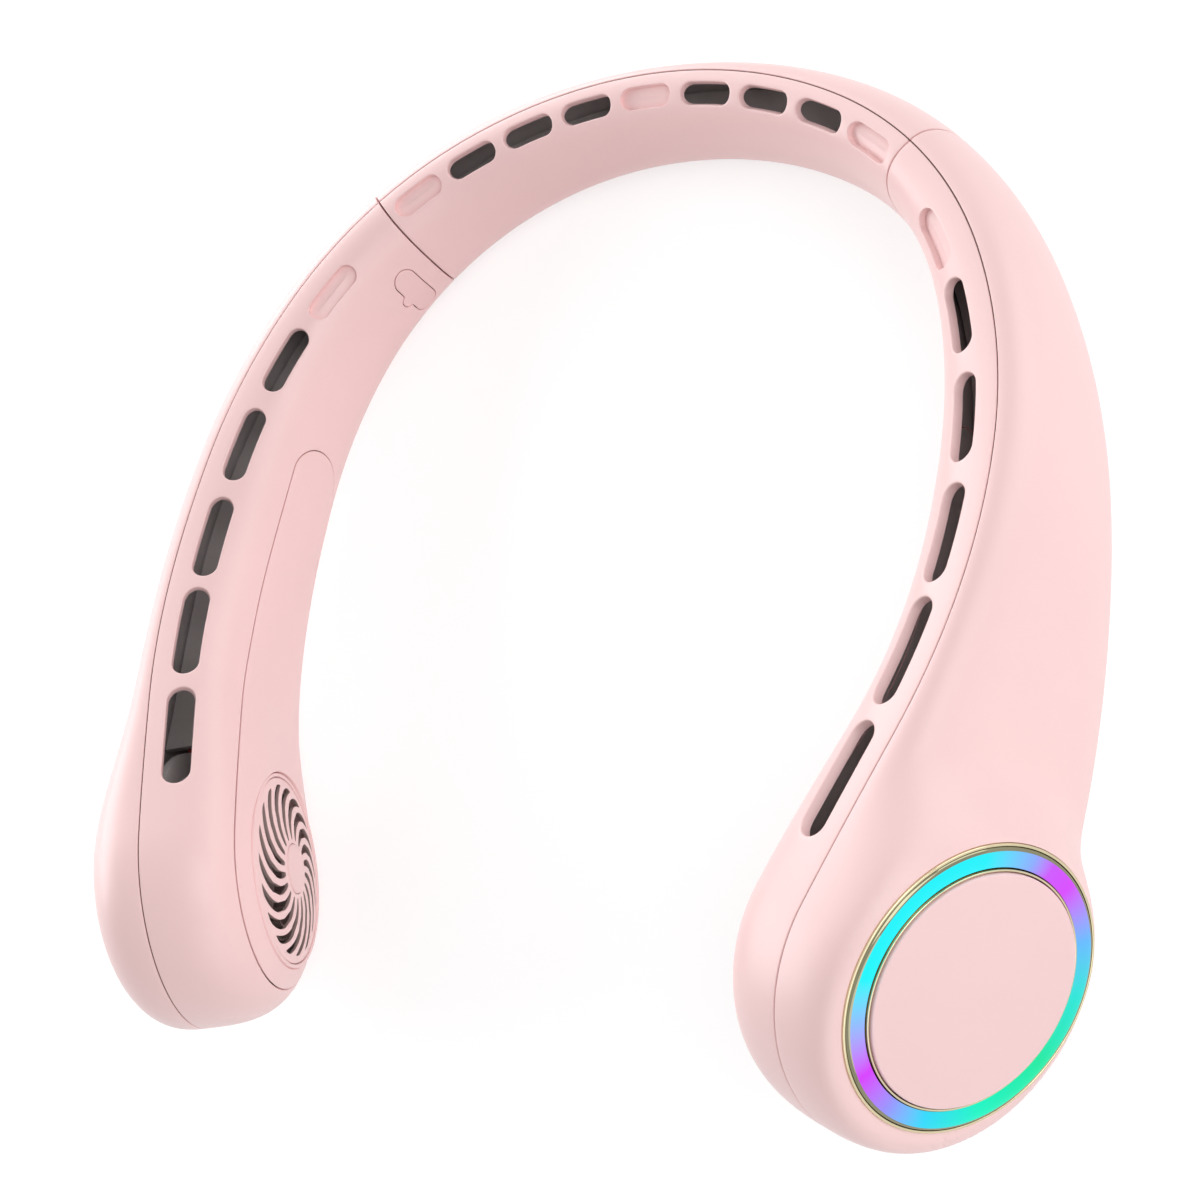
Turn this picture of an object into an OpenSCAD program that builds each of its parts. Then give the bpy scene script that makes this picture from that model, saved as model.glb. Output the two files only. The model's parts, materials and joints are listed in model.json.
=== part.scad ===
// A bladeless neck fan. It is a C-shaped band with a round fan pod at each front end.
// The band is first drawn as it is worn, with its top edge level and its back at y = 0.
// It is then laid on a table, where it stands on both pods and on the back of the band.
// Left and right are the viewer's, with the open front of the band towards the viewer.

/* [Band path, seen from above] */
// Radius of the rear arc
rear_arc_r = 92; // [84:1:100]
// Turn of the rear arc on each side, degrees
rear_arc_turn = 28; // [26:0.5:30]
// Radius of the corner arc
corner_arc_r = 77; // [70:1:84]
// Turn of the corner arc, degrees
corner_arc_turn = 36.5; // [34:0.5:39]
// Radius of the side arc
side_arc_r = 100; // [92:1:108]
// Turn of the side arc, degrees
side_arc_turn = 22; // [20:0.5:24]
// Radius of the front arc
front_arc_r = 140; // [130:1:150]
// Turn of the front arc, degrees
front_arc_turn = 22; // [20:0.5:24]
// Path length from the middle of the back to a section seam
seam_path = 66; // [65:0.5:67]
// Path length from the middle of the back to a pod's centre
pod_path = 215; // [212:1:220]

/* [Band section] */
// Height of the band at the middle of the back
rear_height = 23; // [22:0.5:25]
// Height of the band near the section seam
corner_height = 26.5; // [26:0.5:28]
// Height of the band halfway along an arm
arm_height = 35; // [34:0.5:37]
// How much lower the band is than the pod, where the arm meets it
shoulder_drop = 11; // [9:0.5:12]
// Radius of a pod
pod_r = 28.5; // [28.25:0.25:29]
// Depth from the top edge to the inner side, at the back
rear_inner = 9.2; // [9:0.1:10]
// The same, at the section seam
corner_inner = 8.8; // [8.8:0.1:9.6]
// The same, halfway along an arm
arm_inner = 16.5; // [16:0.25:17.5]
// The same, where the arm meets the pod
shoulder_inner = 18; // [17.5:0.25:19]
// The same, at the pod
pod_inner = 20.8; // [20.6:0.1:21.2]
// Depth from the top edge to the outer side, at the back
rear_outer = 5; // [5:0.1:6]
// The same, along an arm
arm_outer = 8; // [8:0.1:8.6]
// The same, at the pod
pod_outer = 15.5; // [15.25:0.25:16]
// Wall of the shells
wall = 1.6; // [1.4:0.1:1.8]
// Gap of the seam line between the outer and the inner shells
seam_gap = 0.25; // [0.2:0.05:0.3]
// Gap between the back section and an arm
section_gap = 0.4; // [0.4:0.02:0.5]
// Inward lean of a pod's disc, degrees
pod_lean_angle = 18; // [17:0.5:19]
// Rise of the top edge at the pod
pod_rise = 3.3; // [2.5:0.1:4]
// Depth of the flat that a pod stands on
foot_flat = 0.4; // [0.3:0.05:0.5]

/* [Air slots] */
// Width of a slot in the back section
rear_slot_w = 4.6; // [4:0.1:5]
// Length of a slot in the back section
rear_slot_l = 11.5; // [10:0.5:12]
// Pitch of the slots in the back section
rear_slot_pitch = 14.5; // [14:0.25:15]
// Distance from the top seam to the slots of the back section
rear_slot_inset = 4.7; // [4.5:0.1:5]
// Length of the rearmost slot of an arm
first_slot_l = 13.3; // [12.8:0.1:13.8]
// Width of the rearmost slot of an arm
first_slot_w = 4.6; // [4.4:0.1:5]
// Length of the foremost slot of an arm
last_slot_l = 20.8; // [20:0.1:21.2]
// Width of the foremost slot of an arm
last_slot_w = 5.8; // [5.4:0.1:6]
// Distance from the top seam to the slots of an arm
arm_slot_inset = 6.6; // [6.2:0.1:7]
// Depth of a blind slot
blind_depth = 0.8; // [0.6:0.1:1]

/* [Light face of the right pod] */
// Distance from a pod's rim in to the light ring's bezel
bezel_margin = 4.2; // [4:0.1:4.5]
// Width of the light ring with its bezel
ring_w = 4.6; // [4.5:0.1:4.8]
// Height of the face above the pod's middle plane
face_height = 12.5; // [12.3:0.1:12.8]
// Turn of the face towards the front, degrees
face_turn = 7; // [6.5:0.5:7.5]
// Travel of the press disc
disc_travel = 0.6; // [0.4:0.1:0.6]

/* [Intake and fan] */
// Distance from a pod's rim in to the intake grille
grille_margin = 8.9; // [8.7:0.1:9.1]
// Radius of the grille's hub
grille_hub_r = 5.9; // [5.5:0.1:6.5]
// Number of slots in the grille
grille_slots = 18; // [16:1:20]
// Distance from the grille's edge in to the impeller's
impeller_margin = 1; // [0.8:0.1:1.4]
// Number of impeller blades
blades = 21; // [17:2:25]
// Radius of the motor's can
can_r = 8.9; // [8.6:0.1:9]
// Radius of the motor shaft
shaft_r = 1; // [0.9:0.05:1.1]
// Running clearance of the shaft in its bearings
shaft_clear = 0.03; // [0.02:0.01:0.05]

/* [Arm hinge] */
// Radius of the hinge pin
pin_r = 0.9; // [0.8:0.05:1]
// Radius of the knuckles
knuckle_r = 1.9; // [1.8:0.05:1.95]
// Distance from the top edge's line outwards to the pin
pin_out = 3.8; // [3.7:0.1:3.8]
// Running clearance of the pin
pin_clear = 0.04; // [0.03:0.01:0.06]

/* [Charging port] */
// Path length from a section seam to the port
port_offset = 7.8; // [7.6:0.1:8.2]
// Width of the port's cover
cover_w = 5.8; // [5.6:0.1:6]
// Thickness of the port's cover
cover_t = 1.1; // [1:0.05:1.2]
// Gap around the cover and the inner panel
panel_gap = 0.2; // [0.15:0.05:0.25]

/* [Hidden] */
$fn = 64;

// Colours, as the photograph shows them or as such parts are
shell_pink = [0.95, 0.8, 0.8];
disc_pink = [0.96, 0.83, 0.83];
duct_grey = [0.45, 0.4, 0.4];
board_green = [0.1, 0.4, 0.25];
steel = [0.72, 0.73, 0.75];

// Curve of the band: exponents of the rounded sections, which have no length
band_inner_power = 2.6;
band_outer_power = 2;
pod_inner_power = 3.3;
pod_outer_power = 2.55;

// Sizes that follow the pods and the path
bezel_r = pod_r - bezel_margin;
disc_r = bezel_r - ring_w;
grille_r = pod_r - grille_margin;
impeller_r = grille_r - impeller_margin;
port_path = seam_path + port_offset;

// Where along the path the section is given, as shares of the length to the pod
corner_path = 0.28 * pod_path;
arm_path = 0.628 * pod_path;
shoulder_path = 0.837 * pod_path;
lean_start = 0.186 * pod_path;
rise_start = 0.605 * pod_path;
stops = [0, corner_path, arm_path, shoulder_path, pod_path];
heights = [rear_height, corner_height, arm_height, 2 * pod_r - shoulder_drop, 2 * pod_r];
inner_depths = [rear_inner, corner_inner, arm_inner, shoulder_inner, pod_inner];
outer_depths = [rear_outer, arm_outer, arm_outer, arm_outer, pod_outer];
arcs = [
    [rear_arc_r, rear_arc_turn],
    [corner_arc_r, corner_arc_turn],
    [side_arc_r, side_arc_turn],
    [front_arc_r, front_arc_turn]
];

// Facets of the shells
coarse_rows = 11;
fine_rows = 9;
arm_rows = coarse_rows + fine_rows;
pod_rows = 7;
neck_rows = 17;
section_steps = 14;
fine_start = 0.8 * pod_path;

// A cut runs this far past the face it opens
overrun = 1;
// Gap between pieces that sit on each other inside the shells
seat_gap = 0.3;
// Gap of a slip fit
slip_gap = 0.1;

// Helpers

function ease(t) = let (c = min(1, max(0, t))) c * c * (3 - 2 * c);
function mix(a, b, t) = a + (b - a) * t;
function unit(v) = v / norm(v);
function last_stop(x, xs, i = 0) =
    i == len(xs) - 2 || x < xs[i + 1] ? i : last_stop(x, xs, i + 1);
function slope(xs, ys, i) =
    i == 0 || i == len(xs) - 1 ? 0 : (ys[i + 1] - ys[i - 1]) / (xs[i + 1] - xs[i - 1]);

// A smooth curve through the values ys at the places xs, level at both ends
function flow(x, xs, ys) =
    x <= xs[0] ? ys[0] :
    x >= xs[len(xs) - 1] ? ys[len(ys) - 1] :
    let (i = last_stop(x, xs),
         run = xs[i + 1] - xs[i],
         t = (x - xs[i]) / run,
         blend = t * t * (3 - 2 * t))
    mix(ys[i], ys[i + 1], blend)
        + run * slope(xs, ys, i) * t * (1 - t) * (1 - t)
        - run * slope(xs, ys, i + 1) * t * t * (1 - t);

// Place and heading on the path, seen from above, a length s from the middle of the back
function walk(s, i = 0, x = 0, y = 0, heading = 0) =
    s <= 0 || i == len(arcs) ? [x + s * cos(heading), y - s * sin(heading), heading] :
    let (r = arcs[i][0],
         step = min(s, r * arcs[i][1] * PI / 180),
         next = heading + step / r * 180 / PI)
    walk(s - step, i + 1,
         x + r * (sin(next) - sin(heading)), y - r * (cos(heading) - cos(next)), next);

// The band's frame at s: top edge, forward, up along the section, outward
function spine(s) =
    let (stop = walk(s),
         h = stop[2],
         lean = pod_lean_angle * ease((s - lean_start) / (pod_path - lean_start)),
         out = [sin(h), cos(h), 0],
         rise = pod_rise * ease((s - rise_start) / (pod_path - rise_start)))
    [[stop[0], stop[1], rise],
     [cos(h), -sin(h), 0],
     cos(lean) * [0, 0, 1] - sin(lean) * out,
     cos(lean) * out + sin(lean) * [0, 0, 1]];

function band_height(s) = flow(s, stops, heights);
function band_depth(s, side) = flow(s, stops, side > 0 ? outer_depths : inner_depths);
function power_at(s, side) =
    let (t = ease((s - arm_path) / (pod_path - arm_path)))
    side > 0 ? mix(band_outer_power, pod_outer_power, t)
             : mix(band_inner_power, pod_inner_power, t);

// The pod's frame and the middle of its light face
pod_spine = spine(pod_path);
pod_centre = pod_spine[0] - pod_r * pod_spine[2];
face_back = 1;
face_up = 0;
flare_w = 13;
flare_fade = 8;
lip_drop = 0.3;

// Draws the outer skin of the pod up or down to the edge of the light ring
function flared(p) =
    let (q = p - pod_centre,
         x = -(q * pod_spine[1]) - face_back,
         y = q * pod_spine[2] - face_up,
         z = q * pod_spine[3],
         near = min(1, max(0, (bezel_r + flare_w - norm([x, y])) / flare_w)),
         face = face_height - lip_drop + tan(face_turn) * x)
    z <= 0 ? p : p + near * near * ease(z / flare_fade) * (face - z) * pod_spine[3];

// One section of the skin at s, inset by a depth, for a list of angles from the top edge.
// With a mouth, it is drawn to the edge of the light ring.
function section(s, side, angles, inset = 0, mouth = false) =
    let (f = spine(s),
         p = power_at(s, side),
         half = band_height(s) / 2,
         depth = band_depth(s, side) - inset - seam_gap / 2,
         d = min(1, max(0, (s - pod_path) / (pod_r - inset))),
         chord = sqrt(1 - d * d))
    [for (a = angles)
        let (t = sign(cos(a)) * pow(abs(cos(a)), 2 / p),
             rho = sqrt(d * d + chord * chord * t * t),
             u = side * (seam_gap / 2 + depth * pow(max(0, 1 - pow(rho, p)), 1 / p)),
             v = (half - inset) * chord * t - half,
             point = f[0] + v * f[2] + u * f[3])
        mouth && s > fine_start ? flared(point) : point];

function fan_of_angles(count) = [for (j = [0:count]) 180 * j / count];

// Rows of a thin shell; a tip closes it at the front of the pod
function arm_row_path(i, inset) =
    i <= coarse_rows ? mix(seam_path + section_gap / 2, fine_start, i / coarse_rows)
        : i <= arm_rows ? mix(fine_start, pod_path, (i - coarse_rows) / fine_rows)
        : pod_path + (pod_r - inset) * sin(90 * (i - arm_rows) / (pod_rows + 1));
function arm_grid(side, inset, mouth = false) =
    [for (i = [0:arm_rows + pod_rows])
        section(arm_row_path(i, inset), side, fan_of_angles(section_steps), inset, mouth)];
function arm_tip(side, inset) =
    pod_centre + (pod_r - inset) * pod_spine[1] + side * seam_gap / 2 * pod_spine[3];
function across(row) = [for (p = row) [-p[0], p[1], p[2]]];
function neck_row(s, side, inset) =
    let (row = section(abs(s), side, fan_of_angles(section_steps), inset))
    s < 0 ? across(row) : row;
function neck_grid(side, inset) =
    [for (i = [0:neck_rows])
        neck_row(mix(-1, 1, i / neck_rows) * (seam_path - section_gap / 2), side, inset)];

// A closed thin shell from a grid of outer points and a grid of inner ones
module thin_shell(outer, inner, tip = [], flip = false) {
    n = len(outer) - 1;
    m = len(outer[0]) - 1;
    inside = (n + 1) * (m + 1);
    out_tip = 2 * inside;
    in_tip = out_tip + 1;
    function at(i, j) = i * (m + 1) + j;
    skins = [for (i = [0:n - 1], j = [0:m - 1])
        each [[at(i, j), at(i + 1, j), at(i + 1, j + 1)],
              [at(i, j), at(i + 1, j + 1), at(i, j + 1)],
              [inside + at(i, j), inside + at(i + 1, j + 1), inside + at(i + 1, j)],
              [inside + at(i, j), inside + at(i, j + 1), inside + at(i + 1, j + 1)]]];
    edges = [for (i = [0:n - 1])
        each [[at(i + 1, 0), at(i, 0), inside + at(i, 0)],
              [at(i + 1, 0), inside + at(i, 0), inside + at(i + 1, 0)],
              [at(i, m), at(i + 1, m), inside + at(i + 1, m)],
              [at(i, m), inside + at(i + 1, m), inside + at(i, m)]]];
    start = [for (j = [0:m - 1])
        each [[at(0, j), at(0, j + 1), inside + at(0, j + 1)],
              [at(0, j), inside + at(0, j + 1), inside + at(0, j)]]];
    end = len(tip) == 0
        ? [for (j = [0:m - 1])
            each [[at(n, j + 1), at(n, j), inside + at(n, j)],
                  [at(n, j + 1), inside + at(n, j), inside + at(n, j + 1)]]]
        : concat(
            [for (j = [0:m - 1])
                each [[at(n, j + 1), at(n, j), out_tip],
                      [inside + at(n, j), inside + at(n, j + 1), in_tip]]],
            [[out_tip, at(n, 0), inside + at(n, 0)], [out_tip, inside + at(n, 0), in_tip],
             [at(n, m), out_tip, in_tip], [at(n, m), in_tip, inside + at(n, m)]]);
    faces = concat(skins, edges, start, end);
    points = concat([for (r = outer) each r], [for (r = inner) each r], tip);
    polyhedron(points, flip ? faces : [for (f = faces) [f[2], f[1], f[0]]]);
}

// Puts its children at s, with X back along the path, Y up the section and Z outward
module at_band(s, out = 0, up = 0) {
    f = spine(s);
    o = f[0] + up * f[2] + out * f[3];
    multmatrix([[-f[1][0], f[2][0], f[3][0], o[0]],
                [-f[1][1], f[2][1], f[3][1], o[1]],
                [-f[1][2], f[2][2], f[3][2], o[2]]]) children();
}
module at_pod() { at_band(pod_path, 0, -pod_r) children(); }
module at_face() {
    at_pod() translate([face_back, face_up, face_height]) rotate([0, -face_turn, 0]) children();
}
module ring(outer, inner, bottom, top) {
    difference() {
        translate([0, 0, bottom]) cylinder(r = outer, h = top - bottom);
        translate([0, 0, bottom - overrun]) cylinder(r = inner, h = top - bottom + 2 * overrun);
    }
}
module disc(r, bottom, top) { translate([0, 0, bottom]) cylinder(r = r, h = top - bottom); }

// A straight-sided bar with round ends, along X
module pill(length, width, depth) {
    linear_extrude(depth) {
        square([length - width, width], center = true);
        for (end = [-1, 1]) translate([end * (length - width) / 2, 0]) circle(r = width / 2, $fn = 32);
    }
}

// Puts its children on the skin at s, with Z out of the surface and X back along the path.
// The place is given as a share of the half height above the section's middle.
module on_inner_skin(s, rise_share) {
    f = spine(s);
    p = power_at(s, -1);
    half = band_height(s) / 2;
    depth = band_depth(s, -1);
    u = depth * pow(1 - pow(abs(rise_share), p), 1 / p);
    o = f[0] + half * (rise_share - 1) * f[2] - u * f[3];
    up_pull = sign(rise_share) * pow(abs(rise_share), p - 1) / half;
    in_pull = pow(u / depth, p - 1) / depth;
    z = unit(up_pull * f[2] - in_pull * f[3]);
    y = cross(z, -f[1]);
    multmatrix([[-f[1][0], y[0], z[0], o[0]],
                [-f[1][1], y[1], z[1], o[1]],
                [-f[1][2], y[2], z[2], o[2]]]) children();
}
// The share of the half height at which the inner skin lies a depth u inside the top edge
function share_at(s, u) =
    let (p = power_at(s, -1)) pow(1 - pow(u / band_depth(s, -1), p), 1 / p);

// Air slots of an arm: their places as shares of the path. The first is blind.
arm_slot_shares = [0.405, 0.492, 0.591, 0.694, 0.797, 0.907];
module slot(s, inset, length, width, blind) {
    floor_depth = blind ? blind_depth : wall + overrun;
    on_inner_skin(s, share_at(s, inset)) translate([0, 0, -floor_depth])
        pill(length, width, floor_depth + overrun);
}

// A patch of the inner skin, from an inset to a deeper one. Each row is [path length, top, bottom],
// where top and bottom are heights on the section, down from its top edge.
patch_steps = 8;
function patch_angle(s, drop) =
    let (half = band_height(s) / 2,
         d = min(1, max(0, (s - pod_path) / pod_r)),
         t = (half - drop) / (half * sqrt(1 - d * d)))
    acos(sign(t) * pow(abs(t), power_at(s, -1) / 2));
function patch_row(row, inset) =
    section(row[0], -1, [for (j = [0:patch_steps])
        patch_angle(row[0], mix(row[1], row[2], j / patch_steps))], inset);
module patch(rows, top, bottom) {
    thin_shell([for (r = rows) patch_row(r, top)], [for (r = rows) patch_row(r, bottom)], flip = true);
}

// The long inner panel: a round arch, two long sides and a round end about the pod
panel_start = 0.595 * pod_path;
panel_margin = 9;
pod_panel_margin = 5.7;
panel_swell_start = 0.767 * pod_path;
arch_rows = 4;
side_rows = 11;
end_rows = 7;
first_arch_turn = 20;
last_end_turn = 78;
function panel_r(s) =
    let (swell = ease((s - panel_swell_start) / (pod_path - panel_swell_start)))
    band_height(s) / 2 - mix(panel_margin, pod_panel_margin, swell);
function panel_row(s, half_w) = [s, band_height(s) / 2 - half_w, band_height(s) / 2 + half_w];
function panel_rows(extra) =
    let (first = panel_r(panel_start) + extra, last = panel_r(pod_path) + extra)
    concat(
        [for (i = [0:arch_rows - 1])
            let (turn = mix(first_arch_turn, 90, i / arch_rows))
            panel_row(panel_start - first * cos(turn), first * sin(turn))],
        [for (i = [0:side_rows])
            let (s = mix(panel_start, pod_path, i / side_rows)) panel_row(s, panel_r(s) + extra)],
        [for (i = [1:end_rows])
            let (turn = last_end_turn * i / end_rows)
            panel_row(pod_path + last * sin(turn), last * cos(turn))]);
module at_grille() { at_pod() translate([-grille_forward, grille_up, 0]) children(); }
module grille_hole(extra) {
    at_grille() translate([0, 0, -pod_inner - overrun]) cylinder(r = grille_r + extra, h = pod_inner);
}

// The port's cover: a pill that wraps down the inner side of the left arm, with a finger tab
cover_top = 9.6;
cover_bottom = 23.6;
cover_rows = 4;
tab_out = 1.6;
tab_half_w = 1.5;
function cover_rows_at(extra) =
    let (r = cover_w / 2, drop = (cover_top + cover_bottom) / 2)
    concat(
        [for (i = [-cover_rows:cover_rows])
            let (turn = 76 * i / cover_rows,
                 half_l = (cover_bottom - cover_top) / 2 - r + r * cos(turn) + extra)
            [port_path + (r + extra) * sin(turn), drop - half_l, drop + half_l]]);
module tab_outline(extra, top, bottom) {
    on_inner_skin(port_path + cover_w / 2, tab_share) translate([0, 0, bottom])
        pill(2 * (tab_out + extra), 2 * (tab_half_w + extra), top - bottom);
}
tab_share = 1 - (cover_top + cover_bottom) / band_height(port_path);

// Shells

module neck_outer_shell() {
    color(shell_pink) thin_shell(neck_grid(1, 0), neck_grid(1, wall));
}
module rear_slot(i, blind) {
    slot(i * rear_slot_pitch, rear_slot_inset, rear_slot_l, rear_slot_w, blind);
}
module arm_slot(i) {
    share = i / (len(arm_slot_shares) - 1);
    slot(arm_slot_shares[i] * pod_path, arm_slot_inset, mix(first_slot_l, last_slot_l, share),
         mix(first_slot_w, last_slot_w, share), i == 0);
}
module neck_vent_shell() {
    color(shell_pink) difference() {
        thin_shell(neck_grid(-1, 0), neck_grid(-1, wall), flip = true);
        for (i = [-4:4])
            if (i < 0) mirrored() rear_slot(-i, i == -4);
            else rear_slot(i, i == 0 || i == 4);
    }
}
module mouth_shell() {
    color(shell_pink) difference() {
        thin_shell(arm_grid(1, 0, true), arm_grid(1, wall), [arm_tip(1, 0), arm_tip(1, wall)]);
        at_face() disc(bezel_r + slip_gap, -pod_outer, pod_outer);
    }
}
// The left pod's outer side is a plain dome, with posts inside for the fan chassis
module dome_shell() {
    post_reach = (pod_outer - wall / 2)
        * pow(1 - pow(post_place_r / (pod_r - wall), pod_outer_power), 1 / pod_outer_power);
    color(shell_pink) {
        thin_shell(arm_grid(1, 0), arm_grid(1, wall), [arm_tip(1, 0), arm_tip(1, wall)]);
        at_pod() for (a = post_angles) rotate([0, 0, a]) translate([post_place_r, 0, 0]) difference() {
            disc(post_r, chassis_top, post_reach);
            disc(screw_r, chassis_top - overrun, chassis_top + 5 * screw_r);
        }
    }
}
module inner_wall() {
    thin_shell(arm_grid(-1, 0), arm_grid(-1, wall), [arm_tip(-1, 0), arm_tip(-1, wall)], true);
}
module vent_shell(with_port) {
    color(shell_pink) difference() {
        inner_wall();
        patch(panel_rows(panel_gap), -overrun, wall + overrun);
        for (i = [0:len(arm_slot_shares) - 1]) arm_slot(i);
        if (with_port) {
            patch(cover_rows_at(panel_gap), -overrun, wall + overrun);
            tab_outline(panel_gap, overrun, -wall - overrun);
        }
    }
}
module inner_panel() {
    color(shell_pink) difference() {
        patch(panel_rows(0), 0, wall);
        grille_hole(slip_gap);
    }
}

// Intake grille: a shallow dome in a ring, with slots that sweep round its hub
grille_forward = -0.8;
grille_up = -0.6;
grille_rim = -19.4;
dome_rise = 2.1;
grille_ring_w = 1.2;
grille_t = 1.5;
grille_step = 0.4;
grille_skirt = 2.6;
grille_slot_rim = 1.3;
grille_hub_share = 0.4;
grille_slot_share = 0.6;
grille_sweep_angle = -38;
hub_line_w = 0.35;
hub_line_share = 0.86;
sweep_points = 8;
function swept(r0, r1, start, sweep, i) =
    let (t = i / sweep_points, turn = start + sweep * t * t)
    mix(r0, r1, t) * [cos(turn), sin(turn)];
module swept_slot(r0, r1, width0, width1, sweep) {
    taper = (width0 - width1) / 2;
    polygon(concat(
        [for (i = [0:sweep_points]) swept(r0, r1, -width0 / 2, sweep + taper, i)],
        [for (i = [sweep_points:-1:0]) swept(r0, r1, width0 / 2, sweep - taper, i)]));
}
module intake_grille() {
    pitch = 360 / grille_slots;
    slot_outer = grille_r - grille_ring_w - grille_slot_rim;
    dome_r = (grille_r * grille_r + dome_rise * dome_rise) / (2 * dome_rise);
    centre = grille_rim - dome_rise + dome_r;
    color(shell_pink) at_grille() {
        ring(grille_r, grille_r - grille_ring_w, grille_rim, grille_rim + grille_skirt);
        difference() {
            intersection() {
                disc(grille_r - grille_ring_w / 2, grille_rim - dome_rise, grille_rim + grille_skirt);
                translate([0, 0, centre + grille_step]) difference() {
                    sphere(r = dome_r);
                    sphere(r = dome_r - grille_t);
                }
            }
            for (i = [0:grille_slots - 1])
                rotate([0, 0, i * pitch])
                    translate([0, 0, grille_rim - dome_rise - overrun])
                        linear_extrude(grille_skirt + dome_rise + 2 * overrun)
                            swept_slot(grille_hub_r, slot_outer, pitch * grille_hub_share,
                                       pitch * grille_slot_share, grille_sweep_angle);
            ring(grille_hub_r * hub_line_share, grille_hub_r * hub_line_share - hub_line_w,
                 grille_rim - dome_rise, grille_rim - dome_rise + grille_step + hub_line_w);
        }
    }
}

// Fan chassis: a plate across the pod with a bearing tube and a scroll wall
chassis_top = -0.6;
chassis_t = 1.6;
chassis_bottom = chassis_top - chassis_t;
chassis_r = pod_r - wall - 2 * seat_gap;
tube_bottom = -10.8;
bearing_r = 2.5;
bearing_t = 2.3;
tube_wall = 0.7;
scroll_margin = 6.6;
scroll_r = pod_r - scroll_margin;
scroll_wall = 1.2;
scroll_depth = 10.6;
outlet_h = 0.9 * scroll_r;
post_r = 2;
post_place_r = 0.52 * pod_r;
post_angles = [60, 180, 300];
screw_r = 0.8;
head_r = 1.7;
head_t = 0.8;
module fan_chassis() {
    color(duct_grey) at_pod() difference() {
        union() {
            disc(chassis_r, chassis_bottom, chassis_top);
            disc(bearing_r + tube_wall, tube_bottom, chassis_top);
            difference() {
                ring(scroll_r, scroll_r - scroll_wall, chassis_bottom - scroll_depth,
                     chassis_bottom + chassis_t / 2);
                translate([0, -outlet_h / 2, chassis_bottom - scroll_depth - overrun])
                    cube([scroll_r + overrun, outlet_h, scroll_depth + overrun]);
            }
        }
        disc(bearing_r, tube_bottom - overrun, chassis_bottom);
        disc(2 * shaft_r, tube_bottom, chassis_top + overrun);
        for (a = post_angles)
            rotate([0, 0, a]) translate([post_place_r, 0, 0])
                disc(screw_r + slip_gap, chassis_bottom - overrun, chassis_top + overrun);
    }
}
module chassis_screws() {
    color(steel) at_pod()
        for (a = post_angles) rotate([0, 0, a]) translate([post_place_r, 0, 0]) {
            disc(screw_r, chassis_bottom - head_t / 2, chassis_top + 4 * screw_r);
            disc(head_r, chassis_bottom - head_t, chassis_bottom);
        }
}

// Driver board of the motor, on the chassis
board_t = 1;
driver_r = 0.43 * pod_r;
chip_w = 4;
chip_t = 1;
module driver_board() {
    color(board_green) at_pod() {
        ring(driver_r, 2 * shaft_r + overrun, chassis_top, chassis_top + board_t);
        for (a = [0, 90, 200])
            rotate([0, 0, a]) translate([driver_r / 2, -chip_w / 2, chassis_top + board_t / 2])
                cube([chip_w, chip_w, board_t / 2 + chip_t]);
    }
}

// Motor: a stator on the bearing tube, inside a can that turns
stator_bottom = -10;
stator_top = -4.4;
stator_teeth = 9;
tooth_w = 1.1;
tooth_tip_w = 3;
tooth_tip_t = 0.7;
coil_w = 2;
magnet_t = 0.5;
can_t = 0.8;
can_top = -12.4;
can_open = -3.6;
air_gap = 0.3;
stator_r = can_r - can_t - magnet_t - air_gap;
module motor_stator() {
    core_r = bearing_r + tube_wall;
    color("peru") at_pod() {
        ring(core_r + 1.2 * tube_wall + slip_gap, core_r + slip_gap / 2, stator_bottom, stator_top);
        for (i = [0:stator_teeth - 1]) rotate([0, 0, 360 * i / stator_teeth]) {
            translate([core_r + tube_wall, -tooth_w / 2, stator_bottom])
                cube([stator_r - core_r - 2 * tube_wall, tooth_w, stator_top - stator_bottom]);
            translate([stator_r - tooth_tip_t - tube_wall, -tooth_tip_w / 2, stator_bottom])
                cube([tooth_tip_t, tooth_tip_w, stator_top - stator_bottom]);
            translate([core_r + 2 * tube_wall, -coil_w / 2, stator_bottom - tooth_tip_t / 2])
                cube([stator_r - core_r - 5 * tube_wall, coil_w,
                      stator_top - stator_bottom + tooth_tip_t]);
        }
    }
}
module motor_bearings() {
    color(steel) at_pod()
        for (z = [tube_bottom + slip_gap, chassis_bottom - bearing_t])
            ring(bearing_r - slip_gap / 2, shaft_r + shaft_clear, z, z + bearing_t);
}
module motor_shaft() {
    color(steel) at_pod() disc(shaft_r, can_top, chassis_top - chassis_t / 2);
}
module rotor_can() {
    color(steel) at_pod() difference() {
        union() {
            disc(can_r, can_top, can_top + can_t);
            ring(can_r, can_r - can_t, can_top + can_t / 2, can_open);
        }
        disc(shaft_r, can_top - overrun, can_top + can_t + overrun);
    }
}
module rotor_magnets() {
    color([0.3, 0.3, 0.32]) at_pod()
        ring(can_r - can_t, can_r - can_t - magnet_t, can_top + can_t + magnet_t, can_open - magnet_t);
}

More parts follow.
